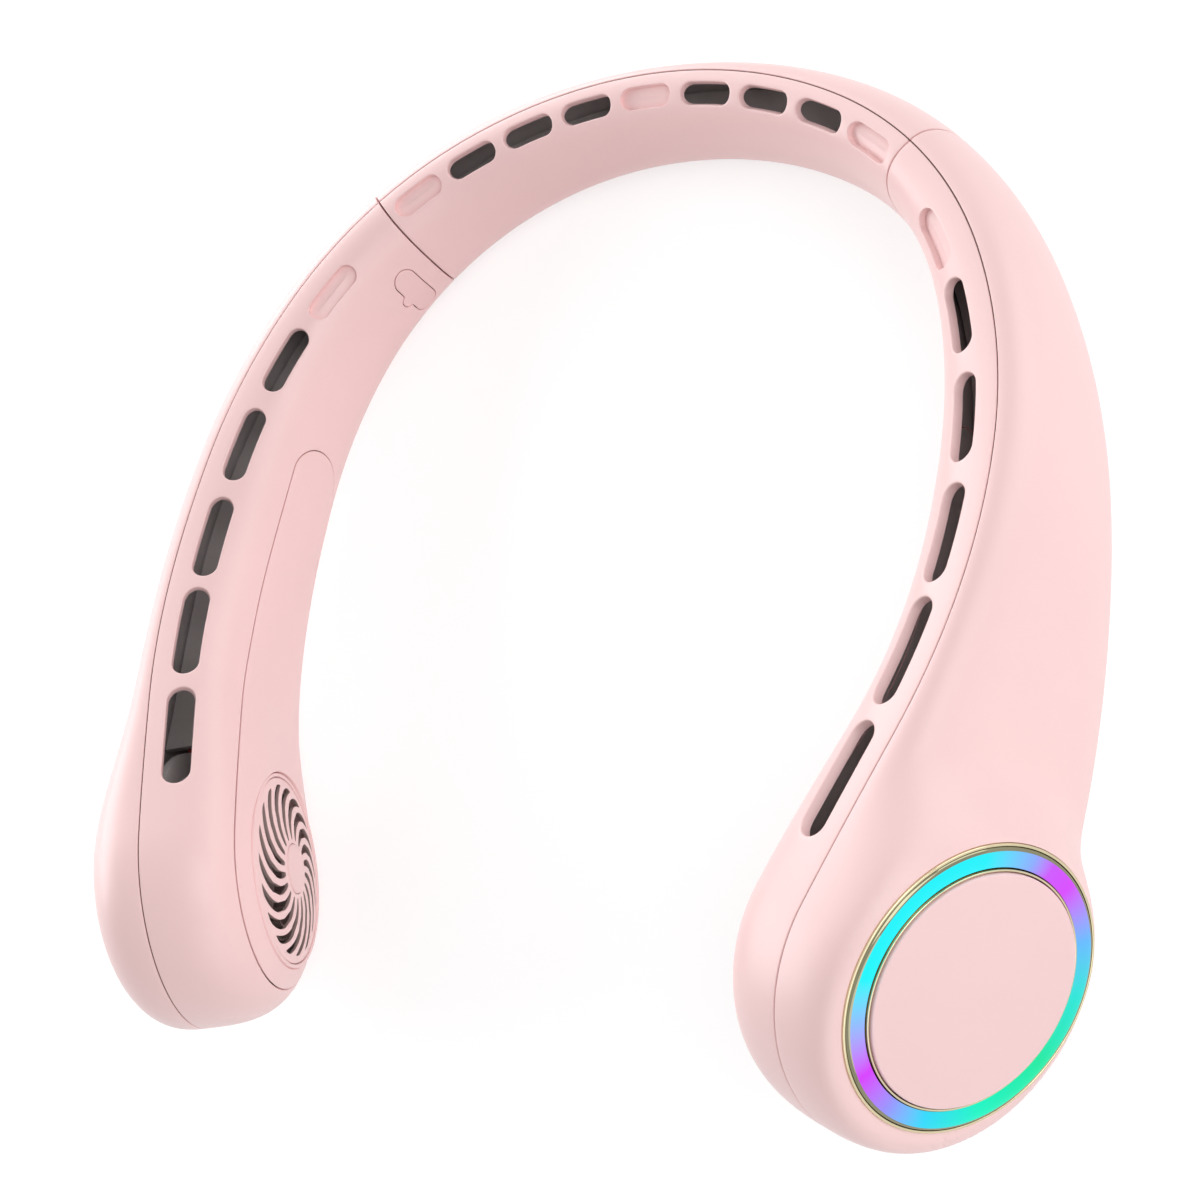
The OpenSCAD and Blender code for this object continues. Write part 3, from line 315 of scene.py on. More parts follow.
def face_points(local):
    """Points given in the frame of the light face, which is turned about Y towards the front."""
    x, y, z = local[..., 0], local[..., 1], local[..., 2]
    cos, sin = math.cos(FACE_TURN), math.sin(FACE_TURN)
    return pod_points(np.stack([FACE_BACK + x * cos - z * sin, FACE_UP + y,
                                FACE_HEIGHT + x * sin + z * cos], -1))


# Finishes


class Value:
    """A socket in a finish. Arithmetic on it adds Math nodes, and numbers stay on the nodes' own sockets."""

    def __init__(self, finish, socket):
        self.finish, self.socket = finish, socket

    def math(self, operation, *others):
        inputs = dict(enumerate((self,) + others))
        return self.finish.add("Math", {"operation": operation}, inputs)

    def __add__(self, other):
        return self.math("ADD", other)

    __radd__ = __add__

    def __mul__(self, other):
        return self.math("MULTIPLY", other)

    __rmul__ = __mul__

    def __sub__(self, other):
        return self.math("SUBTRACT", other)

    def __rsub__(self, other):
        return self.finish.add("Math", {"operation": "SUBTRACT"}, {0: other, 1: self})

    def __truediv__(self, other):
        return self.math("DIVIDE", other)


class Nodes:
    """A node tree of a material or of the world."""

    def __init__(self, tree):
        self.tree = tree

    def add(self, kind, settings, inputs, out=0):
        """Adds any node: its settings first, then the values or links of its sockets."""
        node = self.tree.nodes.new("ShaderNode" + kind)
        for key, value in settings.items():
            if key == "stops":
                set_stops(node.color_ramp, value)
            else:
                setattr(node, key, value)
        for key, value in inputs.items():
            if isinstance(value, Value):
                self.tree.links.new(value.socket, node.inputs[key])
            else:
                node.inputs[key].default_value = value
        return Value(self, node.outputs[out])

    def shown(self):
        """1 for rays from the camera and for those that gloss or glass sends on, else 0."""
        rays = [self.add("LightPath", {}, {}, "Is %s Ray" % kind)
                for kind in ("Camera", "Glossy", "Transmission")]
        return (rays[0] + rays[1] + rays[2]).math("MINIMUM", 1)


class Finish(Nodes):
    """A material round one Principled shader."""

    def __init__(self, name, colour, roughness, **constants):
        self.material = bpy.data.materials.new(name)
        self.material.use_nodes = True
        super().__init__(self.material.node_tree)
        self.shader = self.tree.nodes["Principled BSDF"]
        self.colour = tuple(channel / 255 for channel in colour)
        self.material.diffuse_color = (*linear(self.colour), 1)
        self.shader.inputs["Base Color"].default_value = (*linear(self.colour), 1)
        self.shader.inputs["Roughness"].default_value = roughness
        for socket, value in constants.items():
            self.shader.inputs[socket.replace("_", " ")].default_value = value

    def feed(self, socket, value):
        self.tree.links.new(value.socket, self.shader.inputs[socket])

    def place(self):
        return self.add("TexCoord", {}, {}, "Object")

    def noise(self, scale, detail=2, where=None):
        """Noise with a pattern of about one over scale, in metres."""
        return self.add("TexNoise", {}, {"Vector": where or self.place(), "Scale": scale, "Detail": detail})

    def tint(self, factor, dark, light):
        """Base colour between two shades of the finish's colour."""
        a, b = (tuple(linear([min(1, c * k) for c in self.colour])) + (1,) for k in (dark, light))
        shade = self.add("Mix", {"data_type": "RGBA"}, {0: factor, 6: a, 7: b}, 2)
        self.feed("Base Color", shade)
        return shade

    def relief(self, heights, distance, strength=1):
        normal = self.add("Bump", {}, {"Height": heights, "Distance": distance, "Strength": strength})
        self.feed("Normal", normal)


def linear(colour):
    """Linear light from written colour, by the usual display curve."""
    return [c / 12.92 if c <= 0.04045 else ((c + 0.055) / 1.055) ** 2.4 for c in colour]


def set_stops(ramp, stops):
    """Gives a colour ramp its stops, each a position and a written colour."""
    while len(ramp.elements) < len(stops):
        ramp.elements.new(1)
    for element, (position, colour) in zip(ramp.elements, stops):
        element.position = position
        element.color = (*linear([channel / 255 for channel in colour]), 1)


def satin_plastic(name, colour, roughness=0.42, grain=0.000012, **constants):
    """Moulded plastic: a fine spark-eroded grain, faint clouds in the colour and an uneven gloss."""
    finish = Finish(name, colour, roughness, **constants)
    where = finish.place()
    cloud = finish.noise(28, 3, where)
    fine = finish.noise(5200, 2, where)
    finish.tint(cloud * 0.7 + fine * 0.3, 0.975, 1.02)
    finish.feed("Roughness", (cloud - 0.5) * 0.10 + (fine - 0.5) * 0.12 + roughness)
    finish.relief(fine, grain)
    return finish.material


shell_plastic = satin_plastic("satin_pink_plastic", (245, 209, 208), 0.40, Coat_Weight=0.12,
                              Coat_Roughness=0.28)
disc_plastic = satin_plastic("pink_disc_plastic", (244, 208, 208), 0.46)
# Grey of the duct parts; on the pink shells' inner faces it is painted shade, the darkness inside the ducts
duct_plastic = satin_plastic("grey_duct_plastic", (205, 197, 196), 0.6, 0.00002)
# Taupe for the grille's slot walls and back: painted shade, the pink walls as they look in shadow
grille_shade_plastic = satin_plastic("taupe_painted_grille_shade", (150, 130, 126), 0.6, 0.00002)
# Dark brown for the bars and backings in the gaps: painted shade, standing for the shade that falls in the
# seams
seam_shade_plastic = satin_plastic("brown_painted_seam_shade", (96, 68, 68), 0.6, 0.00002)
cover_rubber = satin_plastic("pink_cover_rubber", (243, 207, 206), 0.55, 0.00002)


def brushed_metal(name, colour, roughness, metallic=1):
    """Bare metal: fine lines along one way, drawn by noise that is stretched the other way."""
    finish = Finish(name, colour, roughness, Metallic=metallic)
    stretched = finish.add("Mapping", {}, {"Vector": finish.place(), "Scale": (1, 1, 14)})
    lines = finish.noise(900, 2, stretched)
    finish.tint(lines, 0.9, 1.06)
    finish.feed("Roughness", (lines - 0.5) * 0.2 + roughness)
    finish.relief(lines, 0.00001)
    return finish.material


def bright_plating(name, colour):
    """Plated trim: smooth, with the faint waves of the moulding under it."""
    finish = Finish(name, colour, 0.07, Metallic=1)
    wave = finish.noise(160, 2)
    finish.tint(wave, 0.95, 1.03)
    finish.feed("Roughness", wave * 0.06 + 0.04)
    finish.relief(wave, 0.00002)
    return finish.material


# Colours of the light, round the ring from its rear point over the top
RING_STOPS = (
    (0, (205, 85, 255)), (0.03, (140, 170, 255)), (0.1, (20, 240, 250)), (0.3, (0, 245, 250)),
    (0.35, (140, 190, 255)), (0.42, (215, 50, 252)), (0.48, (150, 145, 255)), (0.54, (40, 215, 250)),
    (0.62, (0, 243, 195)), (0.72, (15, 233, 162)), (0.81, (32, 228, 215)), (0.88, (100, 185, 254)),
    (0.96, (215, 70, 254)), (1, (205, 85, 255)))


def lit_ring(name):
    """A frosted light guide: its colour follows the turn about the middle of the face."""
    finish = Finish(name, (12, 12, 14), 0.4, Specular_IOR_Level=0.15)
    middle, back, up = face_points(np.array([[0, 0, 0], [1, 0, 0], [0, 1, 0]], float))
    where = finish.place()
    away = finish.add("VectorMath", {"operation": "SUBTRACT"}, {0: where, 1: (middle * MM).tolist()})
    x = finish.add("VectorMath", {"operation": "DOT_PRODUCT"}, {0: away, 1: (back - middle).tolist()}, 1)
    y = finish.add("VectorMath", {"operation": "DOT_PRODUCT"}, {0: away, 1: (up - middle).tolist()}, 1)
    turn = finish.add("Math", {"operation": "ARCTAN2"}, {0: y, 1: x}) / (2 * math.pi) + 1
    round_share = finish.add("Math", {"operation": "FRACT"}, {0: turn})
    frost = finish.noise(2600, 2, where)
    colour = finish.add("ValToRGB", {"stops": RING_STOPS}, {0: round_share + (frost - 0.5) * 0.004})
    finish.feed("Emission Color", colour)
    finish.shader.inputs["Emission Strength"].default_value = 1
    finish.relief(frost, 0.00001)
    return finish.material


def wound_copper(name):
    """Enamelled windings: fine even turns across the coils."""
    finish = Finish(name, (150, 84, 44), 0.35, Metallic=0.8)
    turns = finish.add("TexWave", {"wave_type": "BANDS", "bands_direction": "Z"},
                       {"Vector": finish.place(), "Scale": 900, "Distortion": 0.4})
    finish.tint(turns, 0.75, 1.1)
    finish.relief(turns, 0.00012)
    return finish.material


def board_finish(name, colour):
    """Solder mask over copper tracks: straight runs of a slightly different green."""
    finish = Finish(name, colour, 0.35)
    tracks = finish.add("TexBrick", {}, {"Vector": finish.place(), "Scale": 240, "Mortar Size": 0.06}, 1)
    finish.tint(tracks, 0.9, 1.35)
    finish.feed("Roughness", tracks * 0.12 + 0.3)
    finish.relief(tracks, 0.00004)
    return finish.material


bright_trim = bright_plating("champagne_trim", (214, 202, 168))
# Champagne plating darkened so that its reflections look dark: painted dark reflection on the bead's flanks
channel_dark_reflection_plating = bright_plating("channel_plating_painted_dark_reflection", (138, 136, 112))
ring_glow = lit_ring("lit_ring")
steel_finish = brushed_metal("brushed_steel", (178, 180, 184), 0.32)
magnet_finish = brushed_metal("dark_magnet_plating", (86, 86, 92), 0.4)
cell_foil = brushed_metal("cell_foil", (150, 160, 178), 0.38, 0.7)
copper_finish = wound_copper("copper_windings")
board_green = board_finish("green_board", (22, 92, 58))
board_white = board_finish("white_board", (232, 232, 226))
impeller_plastic = satin_plastic("impeller_plastic", (150, 132, 128), 0.45)
wire_rubber = satin_plastic("red_wire_rubber", (150, 34, 34), 0.5, 0.00003)
NODE_FINISHES = {
    "duct_floor": duct_plastic, "harness": wire_rubber, "duct_sleeve": shell_plastic,
    "hinge_bracket": steel_finish, "hinge_pin": steel_finish, "duct_divider": duct_plastic,
    "battery": cell_foil, "hinge_leaf": steel_finish, "fan_chassis": duct_plastic,
    "chassis_screws": steel_finish, "driver_board": board_green, "motor_stator": copper_finish,
    "motor_bearings": steel_finish, "motor_shaft": steel_finish, "rotor_can": steel_finish,
    "rotor_magnets": magnet_finish, "impeller": impeller_plastic, "face_carrier": duct_plastic,
    "switch_board": board_green, "led_board": board_white, "usb_socket": steel_finish,
    "charge_board": board_green}
for name, node in frame["nodes"].items():
    finish = NODE_FINISHES.get(name.split("_", 1)[1])
    if finish:
        node.data.materials.clear()
        node.data.materials.append(finish)

# Mesh making


def inside(points, loop):
    """Tells which points lie in a closed loop, by counting the edges that a ray crosses."""
    x, y = points[:, :1], points[:, 1:]
    x0, y0 = loop.T
    x1, y1 = np.roll(loop, -1, 0).T
    crosses = (y0 > y) != (y1 > y)
    run = np.where(y1 == y0, 1, y1 - y0)
    return (crosses & (x < x0 + (y - y0) * (x1 - x0) / run)).sum(1) % 2 == 1


def piece(name, points, faces, mats, body, nodes, slots=None, sharp=35):
    """Makes a closed mesh, turned outwards, that rides on a body and stands for CAD nodes."""
    mesh = bpy.data.meshes.new(name)
    mesh.from_pydata((points * MM).tolist(), [], faces)
    for material in mats:
        mesh.materials.append(material)
    if slots is not None:
        mesh.polygons.foreach_set("material_index", np.asarray(slots, np.int32))
    work = bmesh.new()
    work.from_mesh(mesh)
    bmesh.ops.remove_doubles(work, verts=work.verts, dist=MERGE_DISTANCE_M)
    bmesh.ops.recalc_face_normals(work, faces=work.faces)
    work.to_mesh(mesh)
    work.free()
    mesh.polygons.foreach_set("use_smooth", np.ones(len(mesh.polygons), bool))
    mesh.set_sharp_from_angle(angle=math.radians(sharp))
    made = bpy.data.objects.new(name, mesh)
    bpy.context.scene.collection.objects.link(made)
    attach(made, body)
    if nodes:
        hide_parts(*nodes)
    return made


def strip(a, b, closed=True):
    """Quads between two rows of vertex numbers."""
    a2, b2 = np.roll(a, -1), np.roll(b, -1)
    quads = np.stack([a, a2, b2, b], 1)
    return (quads if closed else quads[:-1]).tolist()


class Loop:
    """An edge of a sheet, as a function of how far a line runs from it, with a fillet. One with a floor
    is a recess of that depth and of a half width."""

    def __init__(self, at, fillet, floor=None, half_w=0):
        self.at, self.fillet, self.floor, self.half_w = at, fillet, floor, half_w


FILLET_TURNS = np.radians((22.5, 45, 67.5, 90))


def sheet_mesh(domain, place, rim, holes, wall, step, wall_slot=0):
    """A sheet with a thickness: a triangulated skin between its edges, fillets and walls, and the same
    skin inside. A hole with a floor is only as deep as that floor. Its last result is the material slot
    of each face."""
    loops = [rim] + holes
    params, edges, spans = [], [], []
    count = 0
    for loop in loops:
        row = loop.at(loop.fillet)
        n = len(row)
        params.append(row)
        spans.append(np.arange(count, count + n))
        edges += [(count + i, count + (i + 1) % n) for i in range(n)]
        count += n
    bound = domain.unroll(rim.at(rim.fillet + RIM_CLEAR_STEPS * step))
    clear = [domain.unroll(h.at(h.fillet + RIM_CLEAR_STEPS * step)) for h in holes]
    wide = [domain.unroll(h.at(h.fillet + HOLE_CLEAR_STEPS * step)) for h in holes]
    for i, hole in enumerate(holes):
        for away in RING_STEPS:
            row = hole.at(hole.fillet + away * step)
            flat = domain.unroll(row)
            keep = inside(flat, bound)
            for j, other in enumerate(clear):
                if j != i:
                    keep &= ~inside(flat, other)
            params.append(row[keep])
    grid = domain.grid(step)
    flat = domain.unroll(grid)
    keep = inside(flat, bound)
    for loop in wide:
        keep &= ~inside(flat, loop)
    params.append(grid[keep])
    params = np.concatenate(params)
    flat = domain.unroll(params)
    out = delaunay_2d_cdt([Vector(p) for p in flat.tolist()], edges, [], 0, 1e-5)
    first = np.array([o[0] for o in out[3]])
    faces = first[np.array(out[2])]
    centres = flat[faces].mean(1)
    faces = faces[inside(centres, flat[spans[0]])]
    centres = flat[faces].mean(1)
    front, back = np.ones(len(faces), bool), np.ones(len(faces), bool)
    for hole, span in zip(holes, spans[1:]):
        within = inside(centres, flat[span])
        front &= ~within
        if hole.floor is None:
            back &= ~within
    points = [place(params, 0), place(params, wall)]
    n = len(params)
    total = 2 * n
    quads, quad_slots = [], []
    for loop, span in zip(loops, spans):
        last = span
        levels = [(loop.fillet * (1 - math.sin(t)), loop.fillet * (1 - math.cos(t))) for t in FILLET_TURNS]
        levels.append((0, wall if loop.floor is None else loop.floor))
        if loop.floor is not None:
            levels += [(-0.5 * loop.half_w, loop.floor), (-0.998 * loop.half_w, loop.floor)]
        for away, inset in levels:
            points.append(place(loop.at(away), inset))
            now = np.arange(total, total + len(span))
            quads += strip(last, now)
            quad_slots += [wall_slot if inset == wall else 0] * len(span)
            last = now
            total += len(span)
        if loop.floor is None:
            quads += strip(last, span + n)
            quad_slots += [wall_slot] * len(span)
        else:
            half = len(span) // 2
            pairs = np.stack([last[:half - 1], last[1:half], last[::-1][1:half], last[::-1][:half - 1]], 1)
            quads += pairs.tolist()
            quad_slots += [0] * len(pairs)
    everything = faces[front].tolist() + (faces[back] + n).tolist() + quads
    slots = [0] * int(front.sum()) + [1] * int(back.sum()) + quad_slots
    return np.concatenate(points), everything, slots


def pill(length, width, side_points=14, end_points=16):
    """A straight-sided bar with round ends, as centres and directions: a line at any distance follows."""
    h = (length - width) / 2
    turn = np.linspace(-90, 90, end_points)
    run = np.linspace(h, -h, side_points)[1:-1]
    level = np.zeros_like(run)
    far = np.stack([np.full(end_points, h), np.zeros(end_points)], 1)
    centres = np.concatenate([far, np.stack([run, level], 1), -far, np.stack([-run, level], 1)])
    turns = np.radians(np.concatenate([turn, level + 90, turn + 180, level + 270]))
    return centres, np.stack([np.cos(turns), np.sin(turns)], 1)


class Band:
    """One side of the band's skin, unrolled: X runs along the path and Y down the skin from the top seam.
    A place on it is (path length, angle)."""

    def __init__(self, side, start, end, mouth=False):
        self.side, self.start, self.end, self.mouth = side, start, end, mouth
        self.x = np.linspace(self.long(start), self.long(end), 420)
        self.s = self.path(self.x)
        self.turns = np.pi * (1 - np.cos(np.linspace(0, np.pi, 241))) / 2
        surface = self.surface(self.s[:, None], self.turns[None, :])
        steps = np.linalg.norm(np.diff(surface, axis=1), axis=-1)
        self.down = np.concatenate([np.zeros((len(self.s), 1)), np.cumsum(steps, 1)], 1)
        self.full = self.down[:, -1]
        shares = np.linspace(0, 1, 321)
        self.back = np.stack([np.interp(shares * row[-1], row, self.turns) for row in self.down])

    def surface(self, s, a, inset=0):
        """The skin on both sides of the middle of the back."""
        s, a = np.broadcast_arrays(np.asarray(s, float), np.asarray(a, float))
        p = skin(np.abs(s), a, self.side, inset, self.mouth)
        return np.concatenate([np.where(s[..., None] < 0, -p[..., :1], p[..., :1]), p[..., 1:]], -1)

    @staticmethod
    def long(s):
        """Unrolled length: the arc of the pod's rim beyond its centre."""
        return np.where(s > POD_PATH, POD_PATH + POD_R * np.arcsin(np.clip((s - POD_PATH) / POD_R, 0, 1)), s)

    @staticmethod
    def path(x):
        """Path length of an unrolled length."""
        turn = np.clip((x - POD_PATH) / POD_R, 0, np.pi / 2)
        return np.where(x > POD_PATH, POD_PATH + POD_R * np.sin(turn), x)

    def _rows(self, x):
        """Row of the tables before an unrolled length, and the share of the way to the next."""
        at = (x - self.x[0]) / (self.x[-1] - self.x[0]) * (len(self.x) - 1)
        at = np.clip(at, 0, len(self.x) - 1.000001)
        return at.astype(int), at - at.astype(int)

    @staticmethod
    def _read(table, i, f, j, g):
        """A value of a table between its rows i and i + 1 and its columns j and j + 1."""
        return ((1 - f) * ((1 - g) * table[i, j] + g * table[i, j + 1])
                + f * ((1 - g) * table[i + 1, j] + g * table[i + 1, j + 1]))

    def unroll(self, places):
        """Unrolled X and Y of places on the band."""
        s, a = places.T
        x = self.long(s)
        i, f = self._rows(x)
        at = np.arccos(np.clip(1 - 2 * a / np.pi, -1, 1)) / np.pi * (len(self.turns) - 1)
        at = np.clip(at, 0, len(self.turns) - 1.000001)
        return np.stack([x, self._read(self.down, i, f, at.astype(int), at - at.astype(int))], 1)

    def roll(self, x, y):
        """Places on the band of unrolled X and Y."""
        i, f = self._rows(x)
        full = (1 - f) * self.full[i] + f * self.full[i + 1]
        at = np.clip(y / np.maximum(full, 1e-6), 0, 1) * (self.back.shape[1] - 1)
        at = np.clip(at, 0, self.back.shape[1] - 1.000001)
        return np.stack([self.path(x), self._read(self.back, i, f, at.astype(int), at - at.astype(int))], 1)

    def grid(self, step):
        """Rows of places a step apart, every other row moved by half a step."""
        places = []
        for k, x in enumerate(np.arange(self.x[0] + step, self.x[-1], step)):
            full = np.interp(x, self.x, self.full)
            n = max(int(round(full / step)), 1)
            y = full * (np.arange(n) + (0.5 if k % 2 else 0)) / n
            places.append(self.roll(np.full(len(y), x), y))
        return np.concatenate(places)

    def angle(self, s, share):
        """Angle from the top seam at a share of the half height."""
        return np.arccos(np.clip(np.sign(share) * np.abs(share) ** (power(np.abs(s), self.side) / 2), -1, 1))

    def edge(self, away):
        """Line at a distance from the seam edges and from the ends of the section."""
        def rho(s):
            d = depth(np.abs(s), self.side) - SEAM_GAP / 2
            p = power(np.abs(s), self.side)
            return (1 - (away / d) ** p) ** (1 / p)
        pod = self.end > POD_PATH
        stop = POD_PATH if pod else self.end - away
        along = np.linspace(self.start + away, stop, int((stop - self.start) / 1.1))
        top = np.stack([along, self.angle(along, rho(along))], 1)
        bottom = np.stack([along, self.angle(along, -rho(along))], 1)[::-1]
        if pod:
            r = float(rho(np.array(float(POD_PATH))))
            turn = np.linspace(0, np.pi, 84)[1:-1]
            d = r * np.sin(turn)
            s = POD_PATH + POD_R * d
            share = r * np.cos(turn) / np.sqrt(1 - d * d)
            front = np.stack([s, self.angle(s, share)], 1)
        else:
            front = np.stack([np.full(34, stop), np.linspace(top[-1, 1], bottom[0, 1], 36)[1:-1]], 1)
        rear = np.stack([np.full(34, self.start + away), np.linspace(bottom[-1, 1], top[0, 1], 36)[1:-1]], 1)
        return np.concatenate([top, front, bottom, rear])

    def slot(self, s, inset, length, width, floor=None):
        """A pill-shaped slot that follows the band, at a depth inside the top edge."""
        p = power(abs(s), self.side)
        share = (1 - (inset / depth(abs(s), self.side)) ** p) ** (1 / p)
        x, y = self.unroll(np.array([[s, self.angle(s, share)]]))[0]
        ahead, behind = (self.surface(*self.roll(np.array([x + k]), np.array([y]))[0]) for k in (0.5, -0.5))
        stretch = 1 / np.linalg.norm(ahead - behind)
        centres, ways = pill(length, width)

        def at(away):
            line = centres + ways * (width / 2 + away)
            return self.roll(x + line[:, 0] * stretch, y + line[:, 1])
        return Loop(at, SLOT_FILLET if floor is None else BLIND_FILLET, floor, width / 2)

    def on_pod(self, x, y):
        """The place on the skin under a point of the pod's plane: the height is found by repeated
        correction."""
        s = POD_PATH - x
        o, _, w, n = spine(s)
        half = height(s) / 2
        d = np.clip((s - POD_PATH) / POD_R, 0, 1)
        chord = np.sqrt(1 - d * d)
        p = power(s, self.side)
        u = np.zeros_like(s)
        for _ in range(12):
            v = (y - dot(o - POD_C, POD_W) - u * dot(n, POD_W)) / dot(w, POD_W)
            share = np.clip((v + half) / (half * chord), -1, 1)
            rho = np.minimum(np.sqrt(d * d + (chord * share) ** 2), 1)
            u = self.side * (depth(s, self.side) * (1 - rho ** p) ** (1 / p))
        return np.stack([s, self.angle(s, share)], 1)


def circle(n):
    """Points round a circle of radius one."""
    turn = np.linspace(0, 2 * np.pi, n, endpoint=False)
    return np.stack([np.cos(turn), np.sin(turn)], 1)


def panel_half(s):
    """Half width of the inner panel: the half height less a margin that shrinks towards the pod."""
    margin = mix(PANEL_MARGIN, POD_PANEL_MARGIN, ease((s - PANEL_SWELL) / (POD_PATH - PANEL_SWELL)))
    return height(s) / 2 - margin


def panel_loop(band, fillet, gap):
    """A round arch at the rear, two long sides and a round end about the pod."""
    def at(away):
        e = away + gap
        turn = np.radians(np.linspace(90, -90, 30))
        first = float(panel_half(np.array(float(PANEL_START)))) + e
        last = float(panel_half(np.array(float(POD_PATH)))) + e
        along = np.linspace(PANEL_START, POD_PATH, 76)[1:-1]
        wide = panel_half(along) + e
        arch = np.stack([PANEL_START - first * np.cos(turn), first * np.sin(turn)], 1)
        end = np.stack([POD_PATH + last * np.cos(turn), last * np.sin(turn)], 1)
        line = np.concatenate([arch, np.stack([along, -wide], 1), end[::-1],
                               np.stack([along, wide], 1)[::-1]])
        s, w = line.T
        d = np.clip((s - POD_PATH) / POD_R, 0, 1)
        return np.stack([s, band.angle(s, w / (height(s) / 2 * np.sqrt(1 - d * d)))], 1)
    return Loop(at, fillet)


def grille_loop(band, fillet, gap):
    """The round opening for the intake grille, seen square to the pod's plane."""
    around = circle(110)
    return Loop(lambda away: band.on_pod(-GRILLE_FORWARD + around[:, 0] * (GRILLE_R + gap + away),
                                         GRILLE_UP + around[:, 1] * (GRILLE_R + gap + away)), fillet)


def mouth_loop(band, fillet, gap):
    """The round mouth of the light face, seen square to the pod's plane."""
    around = circle(150) * (math.cos(FACE_TURN), 1)
    return Loop(lambda away: band.on_pod(FACE_BACK + around[:, 0] * (BEZEL_R + gap + away),
                                         FACE_UP + around[:, 1] * (BEZEL_R + gap + away)), fillet)


def cover_loop(band, fillet, gap):
    """A pill down the inner side, with a half-round finger tab on its front edge."""
    r = COVER_W / 2
    half = height(np.array(float(PORT_PATH))) / 2
    middle = half - (COVER_TOP + COVER_BOTTOM) / 2
    h = (COVER_BOTTOM - COVER_TOP) / 2 - r

    def at(away):
        e = gap + away
        turn = np.radians(np.linspace(0, 180, 18))
        top = np.stack([(r + e) * np.cos(turn), h + (r + e) * np.sin(turn)], 1)
        bottom = -top
        rear = np.stack([np.full(9, -r - e), np.linspace(h, -h, 11)[1:-1]], 1)
        bend = np.radians(np.linspace(-90, 90, 15))
        tab = (r + TAB_OUT - TAB_HALF, 0) + (TAB_HALF + e) * np.stack([np.cos(bend), np.sin(bend)], 1)
        foot = np.array([[r + e, -TAB_HALF - e - TAB_FOOT],
                         [r + e + TAB_FOOT_OUT, -TAB_HALF - e - TAB_FOOT_UP]])
        low = np.stack([np.full(3, r + e), np.linspace(-h, -TAB_HALF - e - TAB_FOOT, 5)[1:-1]], 1)
        line = np.concatenate([top, rear, bottom, low, foot, tab, foot[::-1] * (1, -1), low[::-1] * (1, -1)])
        s = PORT_PATH + line[:, 0]
        w = middle + line[:, 1]
        return np.stack([s, band.angle(s, w / (height(s) / 2))], 1)
    return Loop(at, fillet)


def turned_in(loop):
    """The outline of a piece that fills a hole: its distances run inwards."""
    return Loop(lambda away: loop.at(-away), loop.fillet)


class Flat:
    """A round plane with rows of points, for a piece whose height is a function of its plane."""

    def __init__(self, r):
        self.r = r

    def unroll(self, places):
        """A flat place is its own unrolled place."""
        return places

    def grid(self, step):
        """Rows of places a step apart, every other row moved by half a step."""
        n = int(self.r / step) + 1
        i, j = np.meshgrid(np.arange(-n, n + 1), np.arange(-n, n + 1))
        places = np.stack([(i + 0.5 * (j % 2)).ravel() * step, j.ravel() * step * 0.87], 1)
        return places[np.hypot(places[:, 0], places[:, 1]) < self.r]


def rounded(corners, rounds, turns=5):
    """A line through corners, each cut by an arc: the arc's middle lies on the corner's bisector."""
    corners = np.array(corners, float)
    line = []
    last = len(corners) - 1
    for k, (corner, r) in enumerate(zip(corners, rounds)):
        if r == 0 or k in (0, last):
            line.append(corner[None])
            continue
        a = corners[k - 1] - corner
        b = corners[k + 1] - corner
        a, b = a / np.linalg.norm(a), b / np.linalg.norm(b)
        half = math.acos(np.clip(a @ b, -1, 1)) / 2
        centre = corner + (a + b) / np.linalg.norm(a + b) * r / math.sin(half)
        start, end = corner + a * r / math.tan(half) - centre, corner + b * r / math.tan(half) - centre
        first = math.atan2(start[1], start[0])
        sweep = (math.atan2(end[1], end[0]) - first + math.pi) % (2 * math.pi) - math.pi
        turn = first + sweep * np.linspace(0, 1, turns)
        line.append(centre + r * np.stack([np.cos(turn), np.sin(turn)], 1))
    return np.concatenate(line)


def lathe(profile, count=180):
    """A closed profile of radius and height, carried round the Z axis."""
    turn = np.linspace(0, 2 * np.pi, count, endpoint=False)
    r, z = profile[:, 0], profile[:, 1]
    points = np.stack([r * np.cos(turn)[:, None], r * np.sin(turn)[:, None], z + 0 * turn[:, None]], -1)
    n = len(profile)
    at = np.arange(count * n).reshape(count, n)
    ahead, beside = np.roll(at, -1, 0), np.roll(at, -1, 1)
    both = np.roll(ahead, -1, 1)
    return points.reshape(-1, 3), np.stack([at, beside, both, ahead], -1).reshape(-1, 4)


def joined(parts):
    """Several meshes as one: the numbers of each start after those of the last."""
    points, faces, count = [], [], 0
    for some, quads in parts:
        points.append(some)
        faces += [[i + count for i in face] for face in quads]
        count += len(some)
    return np.concatenate(points), faces


def grille_slot(k):
    """One slot of the grille: a squared oval along a line whose turn grows with the square of the radius
    gained."""
    pitch = 2 * np.pi / GRILLE_SLOTS
    u = np.linspace(0, 2 * np.pi, 72, endpoint=False) + 0.01
    lengthwise = np.sign(np.cos(u)) * np.abs(np.cos(u)) ** OVAL_SQUARENESS
    sideways = np.sign(np.sin(u)) * np.abs(np.sin(u)) ** OVAL_SQUARENESS

    def at(away):
        r = (HUB_R + SLOT_OUTER) / 2 + ((SLOT_OUTER - HUB_R) / 2 + away) * lengthwise
        t = (r - HUB_R) / (SLOT_OUTER - HUB_R)
        slope = r * 2 * SLOT_SWEEP * t / (SLOT_OUTER - HUB_R)
        half = pitch * mix(*OPEN_SHARES, t) / 2 + away * np.sqrt(1 + slope * slope) / r
        turn = k * pitch + SLOT_SWEEP * t * t + half * sideways
        return np.stack([r * np.cos(turn), r * np.sin(turn)], 1)
    return Loop(at, 0.15)


